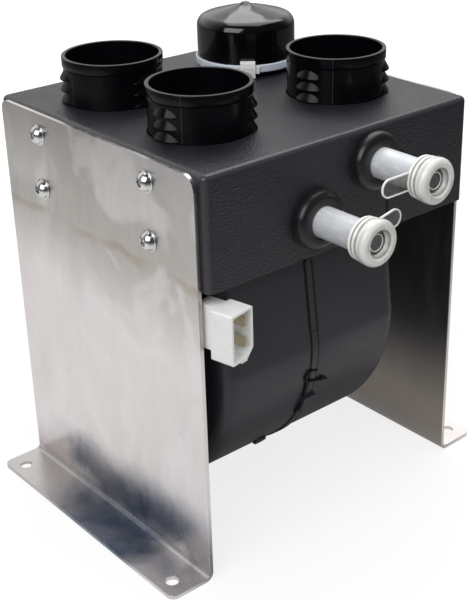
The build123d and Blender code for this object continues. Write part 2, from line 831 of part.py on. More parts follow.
def mount_screws():
    """Screws through the motor mount's arms into the left end wall."""
    x = scroll_left_x - mount_arm_thickness
    return group([small_screw(x, y, z, Rot(0, -90, 0), small_screw_length)
                  for y, z in mount_screw_places()])


# ---- blower wheel, motor and shaft ----

def blade_face(turn):
    """Curved section of one wheel blade, in Y and Z about the wheel's axis."""
    thick = math.degrees(blade_thickness / wheel_r)

    def at(r, degrees):
        a = math.radians(degrees + turn)
        return (r * math.cos(a), r * math.sin(a))

    inner = wheel_inner_r + 0.2
    outer = wheel_r - 0.2
    middle = (inner + outer) / 2
    bow = blade_sweep * 0.25
    one = ThreePointArc(at(inner, 0), at(middle, bow), at(outer, blade_sweep))
    cap = Line(at(outer, blade_sweep), at(outer, blade_sweep + thick))
    two = ThreePointArc(at(outer, blade_sweep + thick), at(middle, bow + thick), at(inner, thick))
    root = Line(at(inner, thick), at(inner, 0))
    return make_face([one, cap, two, root])


def fan_disc():
    """Centre disc of the double wheel, with its hub."""
    half = wheel_disc_thickness / 2
    disc = rod_x(wheel_x - half, wheel_x + half, fan_y, fan_z, wheel_r)
    disc += rod_x(hub_left_x, hub_left_x + hub_length, fan_y, fan_z, hub_r)
    return disc - rod_x(hub_left_x - 1, hub_left_x + hub_length + 1, fan_y, fan_z, shaft_r + hub_grip)


def fan_blades(side):
    """Curved blades on one face of the wheel's disc, as separate solids."""
    root_x = wheel_x + side * wheel_disc_thickness / 2
    tip_x = wheel_x + side * (wheel_half_width - wheel_ring_width)
    low_x, high_x = sorted((root_x, tip_x))
    return group([
        Pos(low_x, fan_y, fan_z) * extrude(Plane.YZ * blade_face(k * 360 / blade_count), high_x - low_x)
        for k in range(blade_count)
    ])


def fan_ring(side):
    """End ring that joins the tips of the blades on one side."""
    end_x = wheel_x + side * wheel_half_width
    low_x, high_x = sorted((end_x, end_x - side * wheel_ring_width))
    return tube_x(low_x, high_x, fan_y, fan_z, wheel_r, wheel_inner_r)


def motor_stations():
    """X of each piece in the motor, worked out from the wheel end to the back end."""
    front_boss = motor_front_x - motor_wall - bearing_length
    front_winding = front_boss - winding_gap - winding_length
    stack = front_winding - armature_length
    back_winding = stack - winding_length
    commutator = back_winding - winding_gap - commutator_length
    return {"boss": front_boss, "front_winding": front_winding, "stack": stack,
            "back_winding": back_winding, "commutator": commutator}


def motor_can():
    """Deep-drawn motor can, closed towards the wheel, with a bearing seat."""
    at = motor_stations()
    can = rod_x(motor_back_x + motor_wall, motor_front_x, fan_y, fan_z, motor_r)
    can = fillet(can.faces().sort_by(Axis.X)[-1].edges(), motor_edge_r)
    can -= rod_x(motor_back_x, motor_front_x - motor_wall, fan_y, fan_z, motor_r - motor_wall)
    can += rod_x(at["boss"], motor_front_x - 1, fan_y, fan_z, bearing_r + motor_wall)
    can -= rod_x(at["boss"] - 1, motor_front_x - motor_wall, fan_y, fan_z, bearing_r + clip_gap)
    return can - rod_x(at["boss"] - 1, motor_front_x + 1, fan_y, fan_z, shaft_r + 1)


def motor_end_cap():
    """Back cap of the motor with the second bearing seat."""
    x0 = motor_back_x
    boss_x = x0 + motor_wall + bearing_length
    cap = rod_x(x0, x0 + motor_wall, fan_y, fan_z, motor_r)
    cap += rod_x(x0, x0 + 2 * motor_wall, fan_y, fan_z, motor_r - motor_wall - clip_gap)
    cap += rod_x(x0, boss_x, fan_y, fan_z, bearing_r + motor_wall)
    return cap - rod_x(x0 + motor_wall, boss_x + 1, fan_y, fan_z, bearing_r + clip_gap)


def bearing(x0):
    """Plain bearing bush."""
    return tube_x(x0, x0 + bearing_length, fan_y, fan_z, bearing_r, shaft_r + shaft_gap)


def magnets():
    """Two arc magnets inside the motor can."""
    outer = motor_r - motor_wall - clip_gap
    inner = outer - magnet_thickness

    def at(r, degrees):
        return (r * math.cos(math.radians(degrees)), r * math.sin(math.radians(degrees)))

    half = magnet_arc / 2
    section = make_face([
        ThreePointArc(at(outer, -half), at(outer, 0), at(outer, half)),
        Line(at(outer, half), at(inner, half)),
        ThreePointArc(at(inner, half), at(inner, 0), at(inner, -half)),
        Line(at(inner, -half), at(outer, -half)),
    ])
    x0 = motor_stations()["stack"] - magnet_overhang
    bar = extrude(Plane.YZ * section, armature_length + 2 * magnet_overhang)
    return group([Pos(x0, fan_y, fan_z) * Rot(turn, 0, 0) * bar for turn in (0, 180)])


def armature():
    """Laminated armature stack on the shaft."""
    at = motor_stations()
    return tube_x(at["stack"], at["front_winding"], fan_y, fan_z, armature_r, shaft_r + hub_grip)


def windings():
    """Copper winding heads at both ends of the stack, as two solids."""
    at = motor_stations()
    ends = []
    for x0, x1 in ((at["front_winding"], at["front_winding"] + winding_length),
                   (at["back_winding"], at["stack"])):
        ends.append(tube_x(x0, x1, fan_y, fan_z, winding_r, shaft_r + winding_bore_gap))
    return group(ends)


def commutator():
    """Commutator ring at the back of the armature."""
    x0 = motor_stations()["commutator"]
    return tube_x(x0, x0 + commutator_length, fan_y, fan_z, commutator_r, shaft_r + hub_grip)


def brushes():
    """Two carbon brushes, above and below the commutator."""
    x = motor_stations()["commutator"] + commutator_length / 2
    low = commutator_r + brush_gap
    high = motor_r - motor_wall - brush_spring_room
    blocks = []
    for side in (-1, 1):
        z0, z1 = sorted((fan_z + side * low, fan_z + side * high))
        blocks.append(box_between((x - brush_size / 2, fan_y - brush_size / 2, z0),
                                  (x + brush_size / 2, fan_y + brush_size / 2, z1)))
    return group(blocks)


def brush_card():
    """Insulating plate with a guide box round each brush."""
    x = motor_stations()["commutator"] + commutator_length / 2
    slot = brush_size / 2 + brush_guide_gap
    wide = brush_size / 2 + brush_guide_wall
    back = x - slot - brush_guide_gap
    outer = motor_r - motor_wall - clip_gap
    low = commutator_r + brush_guide_wall
    bore_r = bearing_r + motor_wall + brush_gap
    card = tube_x(motor_back_x + 2 * motor_wall, back, fan_y, fan_z, outer, bore_r)
    for side in (-1, 1):
        z0, z1 = sorted((fan_z + side * low, fan_z + side * (outer - brush_spring_room / 2)))
        card += box_between((back - brush_guide_wall, fan_y - wide, z0), (x + wide, fan_y + wide, z1))
        card -= box_between((x - slot, fan_y - slot, z0 - 1), (x + slot, fan_y + slot, z1 + 1))
    return card


def shaft():
    """Motor shaft, from the back bearing to the wheel's hub."""
    tip = hub_left_x + hub_length + shaft_past_hub
    return rod_x(motor_back_x + motor_wall + shaft_end_gap, tip, fan_y, fan_z, shaft_r)


def hub_clip():
    """Push-on ring that keeps the wheel on the shaft."""
    x0 = hub_left_x + hub_length
    return tube_x(x0, x0 + hub_clip_thickness, fan_y, fan_z, shaft_r + hub_clip_width, shaft_r + hub_grip)


def motor_sleeve():
    """Rubber sleeve between the motor can and its mount."""
    x0 = scroll_left_x - mount_arm_thickness
    return tube_x(x0, x0 + mount_ring_width, fan_y, fan_z, motor_r + mount_sleeve, motor_r + clip_gap)


def motor_mount():
    """Ring with three arms that carries the motor in the left inlet."""
    x0 = scroll_left_x - mount_arm_thickness
    inner_r = motor_r + mount_sleeve + clip_gap
    ring_r = inner_r + mount_ring_wall
    body = tube_x(x0, x0 + mount_ring_width, fan_y, fan_z, ring_r, inner_r)
    for angle in mount_angles():
        arm = box_between((x0, ring_r - 1, -mount_arm_width / 2),
                          (scroll_left_x, mount_arm_reach, mount_arm_width / 2))
        arm = fillet(arm.edges().filter_by(Axis.X).group_by(Axis.Y)[-1], mount_arm_width * 0.4)
        body += Pos(0, fan_y, fan_z) * Rot(angle, 0, 0) * arm
    for y, z in mount_screw_places():
        body -= rod_x(x0 - 1, scroll_left_x + 1, y, z, small_screw_r + small_screw_gap)
    return body


# ---- plug-in connector ----

def place_plug(shape):
    """Move a piece from the plug's own frame, at its front top left corner, to its place."""
    return Pos(plug_left_x, case_front_y - plug_proud, plug_top_z) * Rot(0, 0, plug_yaw) * shape


def plug_tail_side():
    """Right side of the tail in the plug's frame, where its back corner clears the blower."""
    turn = math.radians(plug_yaw)
    back = (plug_depth + plug_tail_depth) * math.sin(turn)
    return (scroll_left_x - plug_tail_gap - plug_left_x + back) / math.cos(turn)


def hood_block(inset, y0, y1):
    """The hood's outline from y0 to y1, with one chamfered lower corner."""
    block = box_between((inset, y0, -plug_height + inset), (plug_width - inset, y1, -inset))
    along = block.edges().filter_by(Axis.Y)
    corner = along.group_by(Axis.X)[-1].sort_by(Axis.Z)[0]
    others = [e for e in along if (e.center() - corner.center()).length > 1]
    block = fillet(others, plug_edge_r)
    corner = block.edges().filter_by(Axis.Y).group_by(Axis.X)[-1].sort_by(Axis.Z)[0]
    return chamfer(corner, plug_chamfer - inset * 0.6)


def plug_housing():
    """Nylon plug hood with a keyed socket, a polarising chamfer and a mounting tail."""
    body = hood_block(0, 0, plug_depth)
    body -= hood_block(plug_wall, -1, plug_depth - plug_floor)
    rib0 = (plug_rib_offset, 0, -plug_height - plug_rib)
    body += box_between(rib0, (plug_rib_offset + plug_rib_width, plug_depth, -plug_height + 0.1))
    key_z = -terminal_upper_drop - terminal_pitch / 2
    body += box_between((plug_wall - 0.1, 2, key_z - plug_key_height / 2),
                        (plug_wall + plug_key, plug_depth - plug_floor + 0.1, key_z + plug_key_height / 2))
    body += box_between((plug_tail_inset, plug_depth - 0.1, -plug_height + plug_tail_drop),
                        (plug_tail_side(), plug_depth + plug_tail_depth, 0))
    for piece in terminal_blanks(terminal_plate + 0.1):
        body -= piece
    return place_plug(body)


def terminal_blanks(plate):
    """The two upright terminal blades, in the plug's own frame."""
    y0 = terminal_recess
    y1 = plug_depth + terminal_tail
    blades = []
    for row in range(2):
        z = -terminal_upper_drop - row * terminal_pitch
        grow = plate - terminal_plate
        half = (terminal_height + grow) / 2
        blades.append(box_between((terminal_side - plate / 2, y0, z - half),
                                  (terminal_side + plate / 2, y1, z + half)))
    return blades


def terminals():
    """Two brass terminal blades in the plug, as separate solids."""
    blades = []
    for blade in terminal_blanks(terminal_plate):
        tips = blade.faces().sort_by(Axis.Y)[0].edges().filter_by(Axis.X)
        blades.append(place_plug(chamfer(tips, 0.8)))
    return group(blades)


def plug_holder():
    """Lug on the blower's left end that carries the plug's tail."""
    back = plug_depth + plug_tail_depth
    z_top = (holder_height - plug_height) / 2
    pad = box_between((plug_tail_inset + holder_inset, back, z_top - holder_height),
                      (plug_tail_side() - holder_inset, back + holder_depth, z_top))
    turn = math.radians(plug_yaw)
    start_y = case_front_y - plug_proud + (back + holder_depth / 2) * math.cos(turn)
    top = plug_top_z + z_top
    foot = box_between((plug_left_x + holder_inset, start_y, top - holder_height),
                       (scroll_left_x, start_y + holder_length, top))
    return place_plug(pad) + foot


def heater_core():
    """Sub-parts of the water-heated core."""
    save(core_tank(True), "core_tank_front")
    save(core_tank(False), "core_tank_back")
    save(core_tubes(), "core_tubes")
    save(core_fins(), "core_fins")
    for name, side in (("left", -1), ("right", 1)):
        save(core_side_plate(side), f"core_side_plate_{name}")
    save(core_seal(True), "core_seal_lower")
    save(core_seal(False), "core_seal_upper")


def blower():
    """Sub-parts of the blower, its wheel and its motor."""
    for name, side in (("left", -1), ("right", 1)):
        save(scroll_half(side), f"scroll_{name}")
    save(seam_clips(), "seam_clips")
    save(housing_screws(), "housing_screws")
    save(fan_disc(), "fan_disc")
    for name, side in (("left", -1), ("right", 1)):
        save(fan_blades(side), f"fan_blades_{name}")
        save(fan_ring(side), f"fan_ring_{name}")
    save(motor_can(), "motor_can")
    save(motor_end_cap(), "motor_end_cap")
    save(bearing(motor_stations()["boss"]), "bearing_front")
    save(bearing(motor_back_x + motor_wall), "bearing_back")
    save(magnets(), "motor_magnets")
    save(armature(), "armature_stack")
    save(windings(), "armature_windings")
    save(commutator(), "commutator")
    save(brushes(), "brushes")
    save(brush_card(), "brush_card")
    save(shaft(), "motor_shaft")
    save(hub_clip(), "hub_clip")
    save(motor_sleeve(), "motor_sleeve")
    save(motor_mount(), "motor_mount")
    save(mount_screws(), "mount_screws")


def case_and_brackets():
    """Sub-parts of the case, the brackets and their fasteners."""
    save(case_shell(), "case_shell")
    save(case_base(), "case_base")
    for name, side in (("left", -1), ("right", 1)):
        save(bracket(side), f"bracket_{name}")
        save(four_on_side(bracket_screw, side), f"bracket_screws_{name}")
        save(four_on_side(bracket_nut, side), f"bracket_nuts_{name}")


def outlets_and_pipes():
    """Sub-parts of the duct spigots, the blanked outlet and the water pipes."""
    for name, (x, y) in spigot_places.items():
        save(spigot(x, y, lug_first_angles.get(name)), f"spigot_{name}")
    save(blanking_cap(), "blanking_cap")
    save(cable_tie(), "cable_tie")
    tags = {
        "left": (1, tag_left_reach, tag_left_lift),
        "right": (-1, tag_right_reach, tag_right_lift),
    }
    for name, (x, z) in pipe_places.items():
        save(water_pipe(x, z), f"water_pipe_{name}")
        save(grommet(x, z), f"grommet_{name}")
        save(pipe_cap(x, z, *tags[name]), f"pipe_cap_{name}")


def connector():
    """Sub-parts of the plug-in connector."""
    save(plug_housing(), "plug_housing")
    save(terminals(), "plug_terminals")
    save(plug_holder(), "plug_holder")


os.makedirs("parts", exist_ok=True)
case_and_brackets()
outlets_and_pipes()
heater_core()
blower()
connector()
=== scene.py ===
import bpy
import bmesh
import json
import math
from mathutils import Matrix, Vector


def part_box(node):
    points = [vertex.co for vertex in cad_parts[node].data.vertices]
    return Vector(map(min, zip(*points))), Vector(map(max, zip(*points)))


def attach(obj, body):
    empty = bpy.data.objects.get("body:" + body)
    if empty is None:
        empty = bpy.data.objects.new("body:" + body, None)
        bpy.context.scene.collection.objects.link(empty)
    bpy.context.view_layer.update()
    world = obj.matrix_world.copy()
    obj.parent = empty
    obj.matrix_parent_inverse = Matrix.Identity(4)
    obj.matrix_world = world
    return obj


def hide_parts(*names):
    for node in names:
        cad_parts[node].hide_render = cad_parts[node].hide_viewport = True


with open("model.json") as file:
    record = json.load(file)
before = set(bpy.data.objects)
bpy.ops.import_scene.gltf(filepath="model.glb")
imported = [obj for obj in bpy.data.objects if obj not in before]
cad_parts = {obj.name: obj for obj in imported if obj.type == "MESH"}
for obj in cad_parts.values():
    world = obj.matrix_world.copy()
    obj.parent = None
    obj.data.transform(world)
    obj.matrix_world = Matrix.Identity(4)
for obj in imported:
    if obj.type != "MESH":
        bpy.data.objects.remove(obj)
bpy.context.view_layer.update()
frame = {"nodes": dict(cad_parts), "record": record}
MM = 0.001


# ---- camera, at the photograph's angle ----

CAMERA_PLACE = Vector((-0.44575, -0.54635, 0.4635))
CAMERA_AZIMUTH, CAMERA_ELEVATION, CAMERA_ROLL = (math.radians(a) for a in (-40.68, 25.22, -1.06))
CAMERA_SENSOR, CAMERA_LENS = 36, 72.63
CAMERA_SHIFT = (-0.0505, -0.0392)
CAMERA_NEAR, CAMERA_FAR = 0.01, 20


def make_camera():
    a, e, roll = CAMERA_AZIMUTH, CAMERA_ELEVATION, CAMERA_ROLL
    back = Vector((math.sin(a) * math.cos(e), -math.cos(a) * math.cos(e), math.sin(e)))
    level = Vector((math.cos(a), math.sin(a), 0))
    right = level * math.cos(roll) + back.cross(level) * math.sin(roll)
    up = back.cross(right)
    camera = bpy.data.objects.new("camera", bpy.data.cameras.new("camera"))
    bpy.context.scene.collection.objects.link(camera)
    camera.data.sensor_width = CAMERA_SENSOR
    camera.data.lens = CAMERA_LENS
    camera.data.shift_x, camera.data.shift_y = CAMERA_SHIFT
    camera.data.clip_start, camera.data.clip_end = CAMERA_NEAR, CAMERA_FAR
    turn = Matrix((right, up, back)).transposed().to_4x4()
    camera.matrix_world = Matrix.Translation(CAMERA_PLACE) @ turn
    bpy.context.scene.camera = camera


# ---- node helpers; lengths and places in metres ----

def add(tree, kind, inputs=(), **settings):
    """One shader node; inputs are (name or number, value or socket) pairs."""
    n = tree.nodes.new(kind)
    for key, value in settings.items():
        setattr(n, key, value)
    for key, value in dict(inputs).items():
        if isinstance(value, bpy.types.NodeSocket):
            tree.links.new(value, n.inputs[key])
        else:
            n.inputs[key].default_value = value
    return n


def new_material(name, **sockets):
    """A principled material; sockets that are the same all over are set on the shader itself."""
    material = bpy.data.materials.new(name)
    material.use_nodes = True
    shader = material.node_tree.nodes["Principled BSDF"]
    for key, value in sockets.items():
        shader.inputs[key.replace("_", " ")].default_value = value
    return material, material.node_tree, shader


def dress(tree, shader, colour, rough):
    """Links a material's colour and roughness."""
    tree.links.new(colour, shader.inputs["Base Color"])
    tree.links.new(rough, shader.inputs["Roughness"])


def place(tree, stretch=(1, 1, 1)):
    """Coordinates in the part's own frame, stretched along its axes."""
    coords = add(tree, "ShaderNodeTexCoord").outputs["Object"]
    return add(tree, "ShaderNodeMapping", {"Vector": coords, "Scale": stretch}).outputs[0]


def axis(tree, letter):
    """One coordinate in the part's own frame."""
    coords = add(tree, "ShaderNodeTexCoord").outputs["Object"]
    return add(tree, "ShaderNodeSeparateXYZ", {0: coords}).outputs[letter]


def noise(tree, scale, detail, rough=0.5, stretch=(1, 1, 1), distortion=0.0):
    n = add(tree, "ShaderNodeTexNoise", {
        "Vector": place(tree, stretch), "Scale": scale, "Detail": detail, "Roughness": rough,
        "Distortion": distortion})
    return n.outputs["Fac"]


def grains(tree, scale, smooth=0.6):
    n = add(tree, "ShaderNodeTexVoronoi", {
        "Vector": place(tree), "Scale": scale, "Smoothness": smooth}, feature="SMOOTH_F1")
    return n.outputs["Distance"]


def calc(tree, operation, a, b=0.0):
    return add(tree, "ShaderNodeMath", {0: a, 1: b}, operation=operation).outputs[0]


def times(tree, *factors):
    result = factors[0]
    for factor in factors[1:]:
        result = calc(tree, "MULTIPLY", result, factor)
    return result


def largest(tree, *values):
    result = values[0]
    for value in values[1:]:
        result = calc(tree, "MAXIMUM", result, value)
    return result


def inverse(tree, value):
    """Turns 0 into 1 and 1 into 0."""
    return calc(tree, "SUBTRACT", 1.0, value)


def swing(tree, value, width):
    """Turns 0..1 into a shift about 0 of a width."""
    return times(tree, calc(tree, "SUBTRACT", value, 0.5), width)


def spread(tree, value, low, high, to_low=0.0, to_high=1.0):
    """Maps low..high smoothly to to_low..to_high."""
    n = add(tree, "ShaderNodeMapRange", {
        "Value": value, "From Min": low, "From Max": high, "To Min": to_low, "To Max": to_high},
        interpolation_type="SMOOTHSTEP")
    return n.outputs["Result"]


def blend(tree, amount, a, b):
    """Colour a where the amount is 0, colour b where it is 1."""
    n = add(tree, "ShaderNodeMix", {"Factor": amount}, data_type="RGBA")
    for key, value in ((6, a), (7, b)):
        if isinstance(value, bpy.types.NodeSocket):
            tree.links.new(value, n.inputs[key])
        else:
            n.inputs[key].default_value = (*value, 1)
    return n.outputs[2]


def bump(tree, shader, *layers):
    """Chains (height, distance) layers into the shader's normal."""
    normal = None
    for height, distance in layers:
        inputs = {"Height": height, "Distance": distance, "Strength": 1.0}
        if normal is not None:
            inputs["Normal"] = normal
        normal = add(tree, "ShaderNodeBump", inputs).outputs[0]
    tree.links.new(normal, shader.inputs["Normal"])


def painted_edge_light(tree, low, high):
    """1 along convex edges, 0 on flat surfaces; with low above high, 1 in grooves. Used to paint
    highlights on edges and shade in grooves.
    """
    return spread(tree, add(tree, "ShaderNodeNewGeometry").outputs["Pointiness"], low, high)


def box_edges(tree, low, high, reach):
    """1 along the edges of an upright box, 0 beyond a reach from them."""
    near = []
    for letter, a, b in zip("XYZ", low, high):
        off = calc(tree, "ABSOLUTE", calc(tree, "SUBTRACT", axis(tree, letter), (a + b) / 2))
        half = (b - a) / 2
        near.append(spread(tree, off, half - reach, half - 0.2 * reach))
    return largest(tree, *(times(tree, near[i], near[j]) for i, j in ((0, 1), (0, 2), (1, 2))))


# ---- materials ----

def rolled_tone(t, y, z):
    """Warm grey, darker above a drifting height, with blotches and a paler upper back corner."""
    height = calc(t, "ADD", z, swing(t, noise(t, 9, 3, 0.6, (1, 0.6, 1)), 0.06))
    tone = blend(t, spread(t, height, 0.140, 0.200), (0.84, 0.795, 0.785), (0.52, 0.495, 0.465))
    blotches = (
        (noise(t, 17, 3, 0.5, (1, 1, 0.7), 1.6), 0.50, 0.62, 0.38, (0.92, 0.89, 0.90)),
        (noise(t, 13, 3, 0.5, (1, 1, 0.8), 0.8), 0.54, 0.68, 0.32, (0.60, 0.60, 0.64)),
        (noise(t, 10, 2, 0.5, (1.2, 1, 1)), 0.55, 0.68, 0.28, (0.72, 0.65, 0.56)))
    for field, low, high, most, colour in blotches:
        tone = blend(t, spread(t, field, low, high, 0, most), tone, colour)
    paler = times(t, spread(t, z, 0.195, 0.215), spread(t, y, 0.02, 0.08, 0, 0.6))
    return blend(t, paler, tone, (0.74, 0.71, 0.69))


def tide_mark(t, z):
    """1 on a broken, wavering line at one height."""
    mark = calc(t, "ADD", z, swing(t, noise(t, 28, 3), 0.014))
    above = spread(t, mark, 0.1835, 0.1885)
    below = spread(t, mark, 0.1895, 0.1925, 1, 0)
    return times(t, above, below, spread(t, noise(t, 18, 2), 0.40, 0.62))


def painted_bend_reflection(t, z, rag, along):
    """1 where a dark reflection is painted: a ragged cloud above the bend and on the foot."""
    low_z = calc(t, "ADD", z, rag)
    band = times(t, spread(t, low_z, 0.020, 0.050, 1, 0), spread(t, low_z, 0.004, 0.014, 0.25, 1),
                 spread(t, along, 0.035, 0.070, 0.8, 0), spread(t, along, -0.100, -0.045, 0.40, 1))
    foot = times(t, spread(t, along, 0.020, 0.052, 1, 0), spread(t, along, -0.070, -0.040),
                 spread(t, z, 0.003, 0.005, 1, 0))
    return times(t, largest(t, band, foot), spread(t, noise(t, 60, 3, 0.5), 0.35, 0.7, 0.82, 1.0))


def sheet_metal():
    """Bare rolled sheet. The left bracket has a tide mark and a painted blue-grey reflection along
    its bend;
    the right one is warm low down, and has a painted dark reflection on its inner face higher up."""
    m, t, shader = new_material("rolled sheet", Metallic=1.0)
    x, y, z = axis(t, "X"), axis(t, "Y"), axis(t, "Z")
    right = spread(t, x, 0.0, 0.01)
    left = inverse(t, right)
    tone = blend(t, times(t, tide_mark(t, z), 0.7), rolled_tone(t, y, z), (0.42, 0.36, 0.28))
    rag = swing(t, noise(t, 26, 4, 0.65, (1, 1, 0.6), 0.4), 0.035)
    along = calc(t, "ADD", y, times(t, rag, 1.4))
    # Painted reflection: a blue-grey cloud above the left bracket's bend and on its foot.
    tone = blend(t, times(t, painted_bend_reflection(t, z, rag, along), left), tone, (0.105, 0.14, 0.215))
    warm = times(t, right, spread(t, z, 0.02, 0.12, 0.6, 0), spread(t, z, 0.004, 0.016))
    tone = blend(t, warm, tone, (0.80, 0.69, 0.56))
    # Painted dark reflection on the right bracket's inner face, higher up.
    inner = times(t, right, spread(t, x, 0.1002, 0.1008, 1, 0), spread(t, z, 0.025, 0.100, 0, 0.82))
    tone = blend(t, inner, tone, (0.06, 0.06, 0.07))
    # Painted dark reflection on both feet, towards their back.
    painted_foot_reflection = times(t, spread(t, z, 0.0032, 0.0045, 0.35, 0), spread(t, along, -0.02, 0.04, 0, 1.6))
    tone = blend(t, painted_foot_reflection, tone, (0.40, 0.38, 0.37))
    rough = spread(t, noise(t, 60, 5, 0.7, (1, 1, 0.3)), 0.3, 0.75, 0.24, 0.36)
    dress(t, shader, tone, calc(t, "ADD", rough, times(t, right, 0.14)))
    swell = times(t, noise(t, 9, 1), left)
    bump(t, shader, (noise(t, 900, 2, 0.6, (1, 1, 0.3)), 0.0000015), (swell, 0.00010))
    return m


CASE_LOW, CASE_HIGH = (-0.1, -0.1, 0.15), (0.1, 0.1, 0.2525)


def grained_black():
    """Moulded black case: fine leather grain, with a painted highlight along its rounded edges,
    where it is also smoother.
    """
    m, t, shader = new_material("grained black", Specular_IOR_Level=0.5)
    edges = box_edges(t, CASE_LOW, CASE_HIGH, 0.0042)
    shade = blend(t, noise(t, 700, 2), (0.0108, 0.0090, 0.0138), (0.0185, 0.0157, 0.0225))
    rough = spread(t, noise(t, 35, 4, 0.65), 0.3, 0.7, 0.30, 0.40)
    # Painted highlight: the rounded edges are paler.
    dress(t, shader, blend(t, edges, shade, (0.042, 0.040, 0.046)),
          calc(t, "SUBTRACT", rough, times(t, edges, 0.10)))
    flats = inverse(t, times(t, edges, 0.95))
    bump(t, shader, (times(t, grains(t, 1050, 0.25), flats), 0.00026),
         (times(t, noise(t, 1700, 3, 0.6), flats), 0.00011))
    return m


def gloss_black():
    """Glossy black moulding with faint flow marks, handling scratches and a painted highlight on
    its convex edges, duller low down.
    """
    m, t, shader = new_material("glossy black", Specular_IOR_Level=0.20)
    shade = blend(t, noise(t, 60, 3), (0.0012, 0.0012, 0.0018), (0.0030, 0.0030, 0.0045))
    # Painted highlight along convex edges.
    shade = blend(t, painted_edge_light(t, 0.55, 0.68), shade, (0.05, 0.05, 0.055))
    rough = spread(t, noise(t, 90, 5, 0.7), 0.35, 0.75, 0.13, 0.26)
    dusty = spread(t, axis(t, "Z"), 0.264, 0.2665, 0.10, 0)
    dress(t, shader, shade, calc(t, "ADD", rough, dusty))
    bump(t, shader, (noise(t, 40, 2), 0.00025), (noise(t, 1300, 3, 0.6, (1, 1, 0.3)), 0.000006))
    return m


def vinyl():
    """Soft glossy dipped vinyl, slightly uneven."""
    m, t, shader = new_material(
        "dipped vinyl", Specular_IOR_Level=0.5, Coat_Weight=0.3, Coat_Roughness=0.05)
    dress(t, shader, blend(t, noise(t, 50, 3), (0.0012, 0.0012, 0.0014), (0.0030, 0.0030, 0.0034)),
          spread(t, noise(t, 120, 4, 0.6), 0.3, 0.8, 0.09, 0.20))
    bump(t, shader, (noise(t, 26, 2, 0.5), 0.0009), (noise(t, 420, 2), 0.00002))
    return m


def satin_black():
    """Satin black blower moulding with shallow weld streaks."""
    m, t, shader = new_material("satin black", Specular_IOR_Level=0.5)
    streaks = noise(t, 45, 4, 0.6, (0.3, 1, 1))
    dress(t, shader, blend(t, streaks, (0.018, 0.0165, 0.022), (0.026, 0.024, 0.031)),
          spread(t, noise(t, 30, 4, 0.65, (0.4, 1, 1)), 0.3, 0.7, 0.34, 0.48))
    bump(t, shader, (noise(t, 1500, 3, 0.6), 0.00003), (noise(t, 18, 2), 0.0004))
    return m


def black_rubber():
    """Moulded rubber with a dusty bloom."""
    m, t, shader = new_material(
        "black rubber", Specular_IOR_Level=0.5, Sheen_Weight=0.04, Sheen_Roughness=0.5)
    bloom = noise(t, 160, 4, 0.65)
    dress(t, shader, blend(t, bloom, (0.005, 0.005, 0.006), (0.012, 0.0115, 0.013)),
          spread(t, noise(t, 55, 3), 0.3, 0.7, 0.27, 0.38))
    bump(t, shader, (noise(t, 1800, 3, 0.6), 0.000015))
    return m


def grey_foam():
    """Closed-cell foam."""
    m, t, shader = new_material("cell foam", Specular_IOR_Level=0.2, Sheen_Weight=0.2)
    cells = grains(t, 900)
    dress(t, shader, blend(t, cells, (0.020, 0.020, 0.021), (0.085, 0.083, 0.080)),
          spread(t, cells, 0, 1, 0.8, 0.95))
    bump(t, shader, (cells, 0.0005))
    return m


def dull_aluminium():
    """Drawn aluminium, dull blue-grey, with pale rubs, lengthwise scratches and cross nicks."""
    m, t, shader = new_material("drawn aluminium", Metallic=0.30)
    shade = blend(t, noise(t, 70, 4, 0.6, (1, 0.25, 1)), (0.58, 0.605, 0.645), (0.76, 0.775, 0.80))
    rubs = spread(t, noise(t, 380, 4, 0.7, (1, 0.35, 1)), 0.50, 0.66, 0, 0.55)
    shade = blend(t, rubs, shade, (0.90, 0.91, 0.92))
    scratch = spread(t, noise(t, 520, 3, 0.6, (1, 0.06, 1), 0.8), 0.60, 0.72)
    nick = spread(t, noise(t, 330, 2, 0.5, (0.35, 1, 0.35), 1.5), 0.68, 0.76)
    marks = largest(t, times(t, scratch, 0.35), times(t, nick, 0.6))
    shade = blend(t, marks, shade, (0.36, 0.37, 0.40))
    dress(t, shader, shade, spread(t, noise(t, 110, 4), 0.3, 0.7, 0.40, 0.56))
    bump(t, shader, (scratch, 0.00004), (noise(t, 800, 2, 0.5, (1, 0.1, 1)), 0.00002))
    return m


def bright_zinc():
    """Bright zinc plate with a faint warm and blue cast."""
    m, t, shader = new_material("bright zinc", Metallic=1.0)
    dress(t, shader, blend(t, noise(t, 300, 3), (0.70, 0.70, 0.69), (0.80, 0.80, 0.82)),
          spread(t, noise(t, 500, 4, 0.65), 0.3, 0.75, 0.13, 0.26))
    bump(t, shader, (noise(t, 1600, 2), 0.000012))
    return m


def plated_steel():
    """Zinc-plated motor steel, rolled round the axis."""
    m, t, shader = new_material("plated steel", Metallic=1.0)
    streaks = noise(t, 40, 4, 0.6, (8, 1, 1))
    dress(t, shader, blend(t, streaks, (0.42, 0.42, 0.41), (0.60, 0.60, 0.61)),
          spread(t, noise(t, 200, 4, 0.6, (6, 1, 1)), 0.3, 0.7, 0.24, 0.42))
    bump(t, shader, (noise(t, 500, 2, 0.5, (9, 1, 1)), 0.00001))
    return m


def metal(name, dark, light, rough):
    """A plain worn metal for the small parts."""
    m, t, shader = new_material(name, Metallic=1.0)
    dress(t, shader, blend(t, noise(t, 180, 4, 0.6), dark, light),
          spread(t, noise(t, 320, 3), 0.3, 0.7, rough - 0.08, rough + 0.08))
    bump(t, shader, (noise(t, 900, 2), 0.00001))
    return m


def pressed_powder(name, dark, light):
    """Dark, fine-grained and dull, as ferrite or carbon is."""
    m, t, shader = new_material(name, Specular_IOR_Level=0.35)
    dress(t, shader, blend(t, noise(t, 900, 4, 0.7), dark, light),
          spread(t, noise(t, 400, 3), 0.3, 0.7, 0.5, 0.7))
    bump(t, shader, (noise(t, 2200, 3), 0.00003))
    return m


